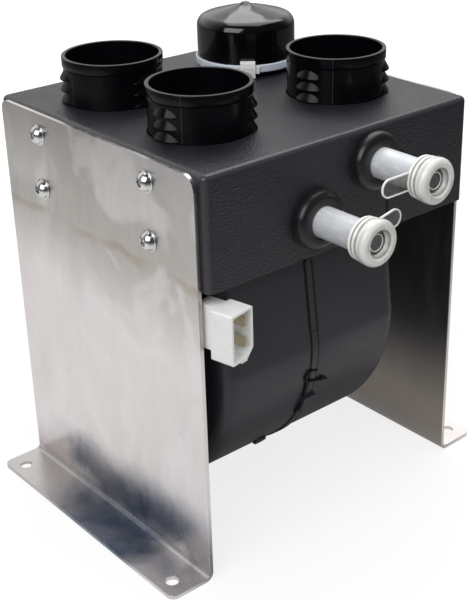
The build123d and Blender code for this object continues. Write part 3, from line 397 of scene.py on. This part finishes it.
def milky_cap():
    """Milky polyethylene with streaks round it and soft scuffs, a painted highlight on its ridges
    and painted shade in its grooves.
    """
    m, t, shader = new_material("milky cap", IOR=1.45, Coat_Weight=0.5, Coat_Roughness=0.06)
    streaks = spread(t, noise(t, 620, 2, 0.55, (0.10, 1, 0.10)), 0.38, 0.62)
    shade = blend(t, streaks, (0.46, 0.45, 0.425), (0.74, 0.73, 0.705))
    haze = spread(t, noise(t, 130, 4, 0.6), 0.35, 0.7, 0, 0.5)
    shade = blend(t, haze, shade, (0.66, 0.65, 0.62))
    # Painted highlight on the ridges.
    shade = blend(t, painted_edge_light(t, 0.50, 0.53), shade, (0.90, 0.895, 0.88))
    # Painted shade in the grooves.
    shade = blend(t, painted_edge_light(t, 0.499, 0.475), shade, (0.34, 0.335, 0.31))
    dress(t, shader, shade, spread(t, noise(t, 240, 4, 0.65), 0.3, 0.75, 0.20, 0.36))
    bump(t, shader, (noise(t, 70, 2), 0.00008))
    return m


def clear_film():
    """Clear polyethylene, slightly hazy."""
    m, t, shader = new_material("clear film", Transmission_Weight=0.95, IOR=1.45)
    dress(t, shader, blend(t, noise(t, 90, 4, 0.6), (0.44, 0.44, 0.43), (0.60, 0.59, 0.57)),
          spread(t, noise(t, 240, 4, 0.65), 0.3, 0.75, 0.04, 0.14))
    bump(t, shader, (noise(t, 70, 2), 0.00008))
    return m


def tie_nylon():
    """Natural nylon strap, bluish white."""
    m, t, shader = new_material(
        "strap nylon", IOR=1.53, Subsurface_Weight=0.3, Subsurface_Scale=0.002,
        Subsurface_Radius=(1, 1, 1))
    dress(t, shader, blend(t, noise(t, 120, 3), (0.60, 0.68, 0.78), (0.74, 0.80, 0.87)),
          spread(t, noise(t, 300, 3), 0.3, 0.7, 0.32, 0.46))
    bump(t, shader, (noise(t, 900, 3), 0.00003))
    return m


def milky_nylon(name, shaded_behind):
    """Natural nylon, slightly yellowed, with specks of dirt; painted brownish shade behind a y."""
    m, t, shader = new_material(
        name, IOR=1.53, Subsurface_Weight=0.3, Subsurface_Scale=0.004,
        Subsurface_Radius=(1, 1, 0.9))
    shade = blend(t, noise(t, 60, 3), (0.87, 0.88, 0.86), (0.93, 0.94, 0.93))
    specks = times(t, spread(t, noise(t, 160, 4, 0.65), 0.5, 0.75), 0.25)
    # Painted shade: brownish behind a y, in the same colour as the dirt specks.
    behind = spread(t, axis(t, "Y"), shaded_behind - MM, shaded_behind + MM, 0, 0.7)
    dress(t, shader, blend(t, largest(t, specks, behind), shade, (0.62, 0.56, 0.42)),
          spread(t, noise(t, 260, 3), 0.3, 0.7, 0.34, 0.48))
    bump(t, shader, (noise(t, 1200, 3), 0.00003))
    return m


PLUG_TAIL_Y = -0.0895
NOWHERE_Y = 1.0
MATERIALS = {
    "case_plastic": grained_black(),
    "sheet_metal": sheet_metal(),
    "screw_steel": bright_zinc(),
    "spigot_plastic": gloss_black(),
    "vinyl": vinyl(),
    "tie_nylon": tie_nylon(),
    "aluminium": dull_aluminium(),
    "rubber": black_rubber(),
    "foam": grey_foam(),
    "cap_plastic": milky_cap(),
    "blower_plastic": satin_black(),
    "motor_steel": plated_steel(),
    "bronze": metal("sintered bronze", (0.36, 0.22, 0.10), (0.55, 0.37, 0.19), 0.46),
    "magnet": pressed_powder("ferrite", (0.030, 0.030, 0.034), (0.070, 0.068, 0.066)),
    "copper": metal("enamelled copper", (0.45, 0.17, 0.08), (0.72, 0.34, 0.18), 0.34),
    "carbon": pressed_powder("carbon", (0.010, 0.010, 0.011), (0.035, 0.035, 0.036)),
    "nylon": milky_nylon("milky nylon", PLUG_TAIL_Y),
    "brass": metal("tinned brass", (0.52, 0.42, 0.27), (0.74, 0.66, 0.50), 0.32),
}
CLEAR_FILM = clear_film()
TIE_HEAD_NYLON = milky_nylon("tie head nylon", NOWHERE_Y)
DARK_GAP = pressed_powder("dark gap", (0.0015, 0.0015, 0.0018), (0.004, 0.004, 0.0045))
RECORD = frame["record"]
SLOTS = {part["node"]: part["material_slot"] for part in RECORD["subparts"]}
BODY_OF = {node: body for body, nodes in RECORD["behaviour"]["bodies"].items() for node in nodes}


def dress_nodes():
    """Gives every CAD node the material of its slot."""
    for node, thing in frame["nodes"].items():
        thing.data.materials.clear()
        thing.data.materials.append(MATERIALS[SLOTS[node]])


# ---- mesh helpers; lengths and places in millimetres ----

SAME_POINT = 1e-6
FLAT_ENOUGH = math.radians(0.4)
BEVEL_ANGLE = math.radians(35)
TO_FRONT = Matrix.Rotation(math.radians(90), 4, "X")
TO_RIGHT = Matrix.Rotation(math.radians(90), 4, "Y")
TO_LEFT = Matrix.Rotation(math.radians(-90), 4, "Y")


def spun(degrees):
    """Matrix of a turn about +Z."""
    return Matrix.Rotation(math.radians(degrees), 4, "Z")


def at(x, y, z, turn=None):
    """Matrix of an optional turn, then a move."""
    move = Matrix.Translation((x, y, z))
    return move @ turn if turn else move


def around(turn, r, a, h):
    """Point in metres at a radius, angle and height about +Z, after the matrix."""
    return turn @ Vector((r * math.cos(a), r * math.sin(a), h)) * MM


def arc(centre, r, start, end, count):
    """Points of a profile's rounded corner, angles in degrees."""
    turns = [math.radians(start + (end - start) * k / count) for k in range(count + 1)]
    return [(centre[0] + r * math.cos(a), centre[1] + r * math.sin(a)) for a in turns]


def piece(name, bm, node, replace=True, sharp=35, material=None):
    """Turns a bmesh into a piece with the finish and the body of one CAD node."""
    mesh = bpy.data.meshes.new(name)
    bmesh.ops.recalc_face_normals(bm, faces=bm.faces)
    bm.to_mesh(mesh)
    bm.free()
    mesh.shade_smooth()
    mesh.set_sharp_from_angle(angle=math.radians(sharp))
    thing = bpy.data.objects.new(name, mesh)
    bpy.context.scene.collection.objects.link(thing)
    mesh.materials.append(material or MATERIALS[SLOTS[node]])
    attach(thing, BODY_OF[node])
    if replace:
        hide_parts(node)
    return thing


def bridge(bm, rings, closed=False):
    """Quads between rings of points; closed joins the last to the first, else both get a lid."""
    count = len(rings[0])
    pairs = list(zip(rings, rings[1:])) + ([(rings[-1], rings[0])] if closed else [])
    for low, high in pairs:
        for k in range(count):
            n = (k + 1) % count
            bm.faces.new((low[k], low[n], high[n], high[k]))
    if not closed:
        bm.faces.new(rings[0])
        bm.faces.new(rings[-1])


def lathe(bm, profile, turn, steps=128, closed=True, wobble=None):
    """Revolves (radius, height) points about +Z, then applies the matrix."""
    rings = []
    for r, h in profile:
        ring = []
        for k in range(steps):
            a = 2 * math.pi * k / steps
            grow = wobble(a, h) if wobble else 0.0
            ring.append(bm.verts.new(around(turn, r + grow, a, h)))
        rings.append(ring)
    bridge(bm, rings, closed)


def block(bm, low, high, turn=Matrix()):
    """A block between two corners, then the matrix."""
    size = [b - a for a, b in zip(low, high)]
    centre = [(a + b) / 2 for a, b in zip(low, high)]
    for v in bmesh.ops.create_cube(bm, size=1)["verts"]:
        v.co = turn @ Vector([v.co[i] * size[i] + centre[i] for i in range(3)]) * MM


def eased(thing, width, segments=2):
    """A small bevel on the sharp edges."""
    bevel = thing.modifiers.new("bevel", "BEVEL")
    bevel.width = width * MM
    bevel.segments = segments
    bevel.limit_method = "ANGLE"
    bevel.angle_limit = BEVEL_ANGLE
    bevel.harden_normals = False
    thing.modifiers.new("normals", "WEIGHTED_NORMAL").keep_sharp = False
    thing.data.shade_smooth()
    sharp = thing.data.attributes.get("sharp_edge")
    if sharp:
        thing.data.attributes.remove(sharp)
    return thing


def node_mesh(node):
    """The CAD node's mesh, with the points of neighbouring faces joined."""
    bm = bmesh.new()
    bm.from_mesh(frame["nodes"][node].data)
    bmesh.ops.remove_doubles(bm, verts=bm.verts, dist=SAME_POINT)
    return bm


def from_node(node, name, width, segments=2):
    """A piece with the CAD node's shape and eased edges, standing for the node."""
    bm = node_mesh(node)
    bmesh.ops.dissolve_limit(bm, angle_limit=FLAT_ENOUGH, verts=bm.verts, edges=bm.edges)
    return eased(piece(name, bm, node), width, segments)


def softened(node, name, sharp):
    """A piece with the CAD node's shape, shaded smoothly over bends shallower than an angle."""
    thing = piece(name, node_mesh(node), node, sharp=sharp)
    thing.modifiers.new("normals", "WEIGHTED_NORMAL").keep_sharp = True
    return thing


def middle(node):
    """Centre of a CAD node's box."""
    low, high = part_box(node)
    return (low + high) / 2 / MM


# ---- brackets and their screws ----

BRACKET_OUTER_X = 102.5
SCREW_YS = (-53.25, 53.25)
SCREW_ZS = (204.5, 238.5)
SCREW_STEPS = 60
DOME_R, DOME_CENTRE, DOME_LOW, DOME_HIGH, DOME_ROWS = 5.95, -0.75, 0.85, 4.55, 12
SOCKET_FLATS = 4.0
SOCKET_ROWS = ((0.12, 4.62), (0, 4.35), (0, 2.0))


def hex_radius(flats, a):
    """Distance from the axis to the side of a hexagon, at an angle."""
    return flats / 2 / math.cos((a + math.pi / 6) % (math.pi / 3) - math.pi / 6)


def screw(bm, turn):
    """Domed socket-head screw with a thin flange; the head points along the turned +Z."""
    profile = [(3.0, -12.7), (3.0, 0), (6.2, 0), (6.4, 0.15), (6.4, 0.6), (6.2, 0.8),
               (5.85, DOME_LOW)]
    for k in range(1, DOME_ROWS + 1):
        h = DOME_LOW + (DOME_HIGH - DOME_LOW) * math.sin(math.radians(90 * k / DOME_ROWS))
        profile.append((math.sqrt(DOME_R**2 - (h - DOME_CENTRE)**2), h))
    angles = [2 * math.pi * k / SCREW_STEPS for k in range(SCREW_STEPS)]
    rings = [[bm.verts.new(around(turn, r, a, h)) for a in angles] for r, h in profile]
    rings += [[bm.verts.new(around(turn, hex_radius(SOCKET_FLATS, a) + grow, a, h)) for a in angles]
              for grow, h in SOCKET_ROWS]
    bridge(bm, rings)


def brackets():
    for side, sign, turn in (("left", -1, TO_LEFT), ("right", 1, TO_RIGHT)):
        from_node(f"bracket_{side}", f"folded_bracket_{side}", 0.3)
        bm = bmesh.new()
        for row, y in enumerate(SCREW_YS):
            for column, z in enumerate(SCREW_ZS):
                spin = spun(17 + 23 * row + 41 * column)
                screw(bm, at(sign * BRACKET_OUTER_X, y, z, turn @ spin))
        piece(f"dome_screws_{side}", bm, f"bracket_screws_{side}", sharp=40)


# ---- duct spigots, blanking cap and tie ----

CASE_TOP = 252.5
SPIGOT_TOP = CASE_TOP + 27
SPIGOT_BOTTOM, FLANGE_TOP, FLANGE_R = 248, 250, 35.0
SPIGOT_R, WALL_R, BORE_R, LIP_R = 30.0, 29.4, 27.6, 0.4
COLLAR_LOW, GROOVE_R = 273.9, 28.95
LUG_ANGLES = {"front_left": 189.5, "front_right": 192, "back_left": 158}
LUG_GROUPS = 3
LUG_DROPS = (13.0, 19.8, 26.6)
LUG_AXIS_R, LUG_BACK_R, LUG_ROOT_R = 18.8, 28.4, 29.0
LUG_R, LUG_TAPER, LUG_RISE, LUG_LIP = 13.2, 2.85, 4.9, 0.6
LUG_ROWS, LUG_STEPS = 12, 20
MOULD_LINES = {"front_left": (212, 32), "front_right": (222.5, 42.5), "back_left": (182, 2)}
MOULD_LINE_HALF = 0.11


def lug(bm, turn, low_z):
    """Wedge lug: an upright cone that bites into the wall, full at its lower edge."""
    slope = [(LUG_R - LUG_TAPER * k / LUG_ROWS, low_z + LUG_LIP + LUG_RISE * k / LUG_ROWS)
             for k in range(LUG_ROWS + 1)]
    rows = []
    for r, z in [(LUG_R - 0.2, low_z), (LUG_R, low_z + 0.2), *slope]:
        cosine = (LUG_ROOT_R**2 - LUG_AXIS_R**2 - r**2) / (2 * LUG_AXIS_R * r)
        limit = math.acos(min(1.0, cosine))
        angles = [-limit + 2 * limit * k / LUG_STEPS for k in range(LUG_STEPS + 1)]
        points = [(LUG_AXIS_R + r * math.cos(a), r * math.sin(a)) for a in angles]
        points.append((LUG_BACK_R, 0))
        rows.append([bm.verts.new(turn @ Vector((x, y, z)) * MM) for x, y in points])
    bridge(bm, rows)


def spigot(name):
    """Spigot with a lipped collar, a groove under it, three stacks of lugs and mould lines."""
    node = f"spigot_{name}"
    centre = middle(node)
    lip_z = SPIGOT_TOP - LIP_R
    inner_lip = arc((BORE_R + LIP_R, lip_z), LIP_R, 180, 90, 4)
    outer_lip = arc((SPIGOT_R - LIP_R, lip_z), LIP_R, 90, 0, 4)
    profile = [(BORE_R, SPIGOT_BOTTOM), (BORE_R, 278.9), *inner_lip, *outer_lip,
               (SPIGOT_R, COLLAR_LOW), (29.9, 273.6), (GROOVE_R, 273.3), (GROOVE_R, 273.15),
               (WALL_R, 272.7), (WALL_R, 252.0), (SPIGOT_R, 251.5), (SPIGOT_R, FLANGE_TOP),
               (FLANGE_R, FLANGE_TOP), (FLANGE_R, SPIGOT_BOTTOM)]
    bm = bmesh.new()
    lathe(bm, profile, at(centre.x, centre.y, 0), 160)
    for group in range(LUG_GROUPS):
        turn = at(centre.x, centre.y, 0, spun(LUG_ANGLES[name] + 360 / LUG_GROUPS * group))
        for drop in LUG_DROPS:
            lug(bm, turn, SPIGOT_TOP - drop)
    for angle in MOULD_LINES[name]:
        turn = at(centre.x, centre.y, 0, spun(angle))
        for inner, outer, low, high in ((29.2, 29.48, 253, 272.7), (29.8, 30.06, 274.0, 279)):
            block(bm, (inner, -MOULD_LINE_HALF, low), (outer, MOULD_LINE_HALF, high), turn)
    piece(f"duct_{name}", bm, node, sharp=28)


SKIRT_LOW, DOME_EDGE = 254, 288


def soft_wall(a, h):
    """Gentle unevenness of the dipped vinyl wall."""
    if not SKIRT_LOW < h < DOME_EDGE:
        return 0
    return (0.16 * math.sin(2 * a + 0.8) + 0.09 * math.sin(5 * a + h * 0.12)
            + 0.05 * math.sin(9 * a - h * 0.2))


def blanking_cap():
    """Dipped vinyl cap with a rolled hem, a rounded shoulder and a drip point."""
    centre = middle("blanking_cap")
    hem = [(30.1, 279.6), (30.1, 253.3), (30.5, 253.1), (31.6, 253.2), (31.9, 253.8), (31.7, 255.2)]
    wall = [(31.4, 257), (31.45, 262), (31.5, 270), (31.5, 276)]
    top = [*arc((24.6, 279.4), 6.9, 2, 80, 14), (20, 287.9), (15, 289.2), (10, 290.3), (7, 291.0)]
    drip = [(5.0, 291.6), (3.8, 292.1), (3.0, 292.6), (2.3, 293.1), (1.4, 293.4), (0.5, 293.5)]
    profile = hem + wall + top + drip
    bm = bmesh.new()
    lathe(bm, profile, at(centre.x, centre.y, 0), 144, closed=False, wobble=soft_wall)
    piece("vinyl_cap", bm, "blanking_cap", sharp=60)


TIE_Z, TIE_HEAD_Z, TIE_HEAD_ANGLE = 258, 257, 231
TIE_TILT = Matrix.Rotation(math.radians(0.5), 4, "X")
TIE_INNER_R, TIE_OUTER_R, TIE_LOW, TIE_HIGH = 31.6, 32.85, -2.3, 2.5


def cable_tie():
    """Strap round the cap's skirt, and its head with a pawl face and the strap's end."""
    centre = middle("blanking_cap")
    bm = bmesh.new()
    ring = [(TIE_INNER_R, TIE_LOW), (TIE_OUTER_R - 0.3, TIE_LOW), (TIE_OUTER_R, TIE_LOW + 0.4),
            (TIE_OUTER_R, TIE_HIGH - 0.4), (TIE_OUTER_R - 0.3, TIE_HIGH), (TIE_INNER_R, TIE_HIGH)]
    lathe(bm, ring, at(centre.x, centre.y, TIE_Z, TIE_TILT), 160)
    eased(piece("nylon_tie", bm, "cable_tie"), 0.3)
    bm = bmesh.new()
    head = at(centre.x, centre.y, TIE_HEAD_Z, TIE_TILT @ spun(TIE_HEAD_ANGLE))
    block(bm, (31.75, -4.7, -3.9), (36.1, 4.7, 6.3), head)
    block(bm, (35.9, -3.2, -2.4), (36.4, 3.2, 3.4), head)
    block(bm, (33.1, 4.4, -1.4), (34.3, 7.4, 3.4), head)
    eased(piece("tie_head", bm, "cable_tie", material=TIE_HEAD_NYLON), 0.9, 3)


# ---- water pipes ----

CASE_FRONT_Y = -100
CAP_START_Y = -136.2
TAG_SETBACK = 0.8
TAG_START, TAG_HALF = 10.4, 5.5
# side of the pipe, reach, lift in degrees
TAGS = {"left": (1, 28.5, -12.0), "right": (-1, 31.5, 0.0)}


def grommet(name):
    """Rubber grommet with a rounded outer face and a groove for the case wall."""
    node = f"grommet_{name}"
    centre = middle(node)
    profile = [(9.05, -5), (9.05, 6.6), (9.5, 7.1), (11.0, 7.15), *arc((12.6, 2.5), 4.7, 90, 0, 14),
               (17.2, 0.8), (16.9, 0.0), (13.0, 0.0), (13.0, -2.5), (16.0, -2.5), (16.0, -5.0)]
    bm = bmesh.new()
    lathe(bm, profile, at(centre.x, CASE_FRONT_Y, centre.z, TO_FRONT))
    piece(f"rubber_grommet_{name}", bm, node, sharp=50)


def tag_outline(inset, end):
    """Long side, round tip and back, in the tag's plane."""
    r = TAG_HALF - inset
    tip = end - TAG_HALF
    points = [(TAG_START + inset, -r)]
    points += [(tip + r * math.cos(a), r * math.sin(a)) for a in
               [math.radians(-90 + 10 * k) for k in range(19)]]
    return points + [(TAG_START + inset, r)]


def layered(bm, turn, reach, layers, closed=False):
    """Skins a tag-shaped plate from its (inset, depth) outlines."""
    loops = []
    for inset, depth in layers:
        loops.append([bm.verts.new(turn @ Vector((x, -depth, z)) * MM)
                      for x, z in tag_outline(inset, reach)])
    bridge(bm, loops, closed)


def pipe_cap(name):
    """Ribbed transport cap with a framed side tag; end window and tag web are clear film."""
    node = f"pipe_cap_{name}"
    pipe = middle(f"grommet_{name}")
    side, reach, lift = TAGS[name]
    turn = at(pipe.x, CAP_START_Y, pipe.z, TO_FRONT)
    lean = Matrix.Rotation(math.radians(lift), 4, "Y") @ Matrix.Scale(side, 4, (1, 0, 0))
    flat = at(pipe.x, CAP_START_Y - TAG_SETBACK, pipe.z, lean)
    bore = [(6.85, 8.26), (9.06, 8.26), (9.06, 0.5), (9.5, 0)]
    ribs = [(11.6, 0), (12.05, 0.25), (12.3, 0.8), (12.3, 1.5), (12.05, 2.0), (11.6, 2.3),
            (11.55, 2.9), (11.9, 3.3), (12.45, 3.6), (12.65, 4.2), (12.45, 4.9), (11.95, 5.3),
            (11.9, 5.9)]
    drum = [(12.3, 6.5), (12.85, 7.0), (13.15, 7.8), (13.2, 9.0),
            *arc((10.0, 10.35), 3.2, 0, 88, 10)]
    recess = [*arc((9.0, 12.5), 1.05, 88, 190, 8), (7.7, 11.6), (7.1, 10.8), (6.85, 9.9)]
    tag_rim = ((0.0, -0.45), (0.0, 0.45), (0.25, 0.6), (0.75, 0.6), (0.95, 0.4), (0.95, -0.4),
               (0.75, -0.6), (0.25, -0.6))
    window_ring = [(4.45, 9.5), (4.6, 9.95), (4.95, 9.95), (5.1, 9.5)]
    bm = bmesh.new()
    lathe(bm, bore + ribs + drum + recess, turn)
    layered(bm, flat, reach, tag_rim, closed=True)
    lathe(bm, window_ring, turn, 64)
    piece(f"transport_cap_{name}", bm, node, sharp=50)
    window = [(0.05, 8.8), (6.9, 8.8), (6.9, 9.58), (0.05, 9.58)]
    tag_web = ((0.9, -0.3), (0.9, 0.3))
    bm = bmesh.new()
    lathe(bm, window, turn, 96, closed=False)
    layered(bm, flat, reach, tag_web)
    piece(f"cap_film_{name}", bm, node, sharp=40, material=CLEAR_FILM)


DARK_STRIP_LOW, DARK_STRIP_HIGH = (32.1, -100.12, 187.6), (33.9, -99.6, 206.0)


def case_dark_strip():
    """Dark upright strip on the case front, from its lower edge to behind the right tag."""
    bm = bmesh.new()
    block(bm, DARK_STRIP_LOW, DARK_STRIP_HIGH)
    piece("case_dark_strip", bm, "case_shell", replace=False, material=DARK_GAP)


# ---- seam and latch of the blower housing ----

HOUSING_Y, HOUSING_Z, HOUSING_R = -1.5, 130.0, 97.5
WALL_LEAN = 0.11995
WALL_STEP_Z, WALL_LOW_Z = 139, 131
WALL_ZS = (186, 170, 150, WALL_STEP_Z)
BAND_TOP_Z = 183.5
SEAM_X, SEAM_PROUD = -23.0, 0.8
# offset from the seam, width, proud of the housing
SEAM_JOINTS = ((-2.85, 1.2, 0.0), (2.0, 0.7, SEAM_PROUD))
# z, reach to each side, width, height
SEAM_STOPS = ((WALL_STEP_Z, 2.4, 0.6, 0.1), (BAND_TOP_Z, 2.6, 4.0, 0.5))
JOINT_HEIGHT, WALL_BROADER = 0.14, 1.7
# half widths and heights round a bead's section
BEAD_SECTION = ((-1, -0.6), (-1, 0.7), (-0.7, 1), (0.7, 1), (1, 0.7), (1, -0.6))
# x, angle; tip and hook also have how far they stand proud
LATCH_LOOP = ((-20.6, 190.6), (-24.0, 190.0), (-27.2, 190.0), (-29.0, 191.4), (-28.9, 193.2),
              (-27.6, 194.0), (-27.2, 197.0), (-26.9, 201.0))
LATCH_TONGUE = ((-27.8, 193.8), (-21.0, 195.0), (-15.5, 196.0), (-11.2, 196.6))
LATCH_TIP = ((-15.6, 195.2, 0.4), (-14.2, 196.2, 0.4))
LATCH_HOOK = ((-26.6, 205.0, 0.8), (-27.2, 207.6, 0.6), (-27.6, 210.0, 0.3))


def on_housing(x, angle, proud):
    """Point over the round front of the housing; angle in degrees, 180 at the front, 270 below."""
    a = math.radians(angle)
    return Vector((x, HOUSING_Y + (HOUSING_R + proud) * math.cos(a),
                   HOUSING_Z + (HOUSING_R + proud) * math.sin(a)))


def on_wall(x, z, proud):
    """Point over the housing's front wall, which leans back above its widest line."""
    return Vector((x, HOUSING_Y - HOUSING_R + WALL_LEAN * (z - HOUSING_Z) - proud, z))


def bead(bm, points, width, height):
    """A flat bead along points over the housing; its width lies along the surface."""
    rings = []
    for k, p in enumerate(points):
        ahead = (points[min(k + 1, len(points) - 1)] - points[max(k - 1, 0)]).normalized()
        out = Vector((0, p.y - HOUSING_Y, min(p.z - HOUSING_Z, 0))).normalized()
        across = ahead.cross(out).normalized()
        rings.append([bm.verts.new((p + across * a * width / 2 + out * b * height) * MM)
                      for a, b in BEAD_SECTION])
    bridge(bm, rings)


def seam_joints():
    """Dark joints beside the seam band, broader on the wall, with a step and a stop across it."""
    bm = bmesh.new()
    for offset, wide, proud in SEAM_JOINTS:
        x = SEAM_X + offset
        bead(bm, [on_wall(x, z, proud) for z in WALL_ZS], wide * WALL_BROADER, JOINT_HEIGHT)
        line = [on_wall(x, WALL_STEP_Z, proud), on_wall(x, WALL_LOW_Z, proud)]
        line += [on_housing(x, a, proud) for a in range(180, 269, 4)]
        bead(bm, line, wide, JOINT_HEIGHT)
    for z, reach, wide, height in SEAM_STOPS:
        line = [on_wall(SEAM_X + side * reach, z, SEAM_PROUD) for side in (-1, 1)]
        bead(bm, line, wide, height)
    piece("seam_joints", bm, "scroll_left", replace=False, material=DARK_GAP)


def latch():
    """Loop, tongue and hook of the latch over the seam."""
    bm = bmesh.new()
    bead(bm, [on_housing(x, a, 0.8) for x, a in LATCH_LOOP], 1.5, 0.8)
    bead(bm, [on_housing(x, a, 0.9) for x, a in LATCH_TONGUE], 1.3, 1.1)
    bead(bm, [on_housing(*point) for point in LATCH_TIP], 2.6, 1.4)
    bead(bm, [on_housing(*point) for point in LATCH_HOOK], 2.2, 1.2)
    eased(piece("latch_loop", bm, "seam_clips", replace=False, material=DARK_GAP), 0.2)


# ---- connector ----

def connector():
    from_node("plug_housing", "plug_hood", 0.35, 3)
    from_node("plug_terminals", "plug_blades", 0.12)
    from_node("plug_holder", "plug_bracket", 0.4)


# ---- floor and light; lengths in metres ----

FLOOR_HALF, FLOOR_DROP = 6.0, 0.0002
LAMP_TARGET = Vector((0, 0, 0.15))
# name, azimuth, elevation, distance, width, height, power
LAMPS = (("window", 32, 68, 1.40, 1.15, 1.45, 11.5), ("key", 197, 36, 1.40, 1.05, 1.00, 11.0))


def seen_directly(tree):
    """Two masks: camera and transmission rays, which see plain white; and glossy rays."""
    path = add(tree, "ShaderNodeLightPath")
    seen = largest(tree, path.outputs["Is Camera Ray"], path.outputs["Is Transmission Ray"])
    return seen, path.outputs["Is Glossy Ray"]


def towards(tree, vector, direction):
    """How far a vector points along a direction."""
    n = add(tree, "ShaderNodeVectorMath", {0: vector, 1: direction}, operation="DOT_PRODUCT")
    return n.outputs["Value"]


def pale_floor():
    """White where it is seen; in reflections it is pale behind the part and dim in front of it,
    with a painted shadow under and beside it.
    """
    material = bpy.data.materials.new("pale floor")
    material.use_nodes = True
    t = material.node_tree
    t.nodes.clear()
    seen, glossy = seen_directly(t)
    coords = add(t, "ShaderNodeTexCoord").outputs["Object"]
    away = add(t, "ShaderNodeVectorMath", {0: coords}, operation="LENGTH").outputs["Value"]
    white = times(t, seen, spread(t, away, 0.25, 1.0, 0.80, 1.0))
    behind = spread(t, away, 0.62, 1.05, 0.66, 0.14)
    ahead = spread(t, away, 0.20, 0.85, 0.60, 0.02)
    turned = spread(t, towards(t, coords, (-0.45, 0.89, 0)), -0.12, 0.10)
    mirrored = add(t, "ShaderNodeMix", {"Factor": turned, "A": ahead, "B": behind}).outputs[0]
    # Painted shadow: reflections of the floor are dimmed under and beside the part.
    beside = spread(t, calc(t, "ABSOLUTE", axis(t, "X")), 0.085, 0.135)
    before = spread(t, axis(t, "Y"), -0.17, -0.09, 1, 0)
    past = spread(t, axis(t, "Y"), 0.25, 0.45)
    open_floor = largest(t, beside, before, past)
    mirrored = times(t, mirrored, spread(t, open_floor, 0, 1, 0.22, 1.0))
    strength = largest(t, white, times(t, glossy, mirrored))
    shade = blend(t, noise(t, 6, 3), (0.205, 0.205, 0.205), (0.215, 0.215, 0.215))
    shade = blend(t, glossy, shade, (0.12, 0.12, 0.12))
    diffuse = add(t, "ShaderNodeBsdfDiffuse", {"Color": shade})
    glow = add(t, "ShaderNodeEmission", {"Strength": strength})
    both = add(t, "ShaderNodeAddShader", {0: diffuse.outputs[0], 1: glow.outputs[0]})
    add(t, "ShaderNodeOutputMaterial", {"Surface": both.outputs[0]})
    bm = bmesh.new()
    bmesh.ops.create_grid(bm, x_segments=8, y_segments=8, size=FLOOR_HALF)
    mesh = bpy.data.meshes.new("floor")
    bm.to_mesh(mesh)
    bm.free()
    mesh.materials.append(material)
    floor = bpy.data.objects.new("floor", mesh)
    floor.location.z = -FLOOR_DROP
    bpy.context.scene.collection.objects.link(floor)


def pale_world():
    """White where it is seen; in reflections it is white behind the part and dim elsewhere."""
    world = bpy.data.worlds.new("studio")
    bpy.context.scene.world = world
    world.use_nodes = True
    t = world.node_tree
    background = t.nodes["Background"]
    background.inputs["Color"].default_value = (1, 1, 1, 1)
    seen, glossy = seen_directly(t)
    direction = add(t, "ShaderNodeTexCoord").outputs["Generated"]
    mirrored = spread(t, towards(t, direction, (0.35, 0.93, 0.0)), -0.1, 0.95, 0.04, 1.0)
    around_part = spread(t, towards(t, direction, (0.31, -0.95, 0.0)), -0.3, 1.0, 0.34, 0.95)
    height = add(t, "ShaderNodeSeparateXYZ", {0: direction}).outputs["Z"]
    mirrored = times(t, mirrored, spread(t, height, 0.05, 0.30, 0.4, 1.0))
    mixed = add(t, "ShaderNodeMix", {"Factor": glossy, "A": around_part, "B": mirrored})
    t.links.new(largest(t, mixed.outputs[0], seen), background.inputs["Strength"])


def softbox(name, place_at, width, height, power):
    """A rectangular lamp turned to the part; the camera doesn't see it."""
    light = bpy.data.lights.new(name, "AREA")
    light.shape = "RECTANGLE"
    light.size, light.size_y = width, height
    light.energy = power
    lamp = bpy.data.objects.new(name, light)
    bpy.context.scene.collection.objects.link(lamp)
    lamp.location = place_at
    lamp.rotation_mode = "QUATERNION"
    lamp.rotation_quaternion = (LAMP_TARGET - place_at).to_track_quat("-Z", "Y")
    lamp.visible_camera = False


def lights():
    for name, azimuth, elevation, distance, width, height, power in LAMPS:
        a, e = math.radians(azimuth), math.radians(elevation)
        away = Vector((math.cos(a) * math.cos(e), math.sin(a) * math.cos(e), math.sin(e)))
        softbox(name, LAMP_TARGET + away * distance, width, height, power)


make_camera()
pale_world()
pale_floor()
lights()
dress_nodes()
brackets()
for spigot_name in LUG_ANGLES:
    spigot(spigot_name)
blanking_cap()
cable_tie()
for pipe_name in TAGS:
    grommet(pipe_name)
    pipe_cap(pipe_name)
for half in ("left", "right"):
    softened(f"scroll_{half}", f"blower_half_{half}", 20)
case_dark_strip()
seam_joints()
latch()
connector()

bpy.context.scene.view_settings.view_transform = "Standard"
bpy.context.view_layer.update()
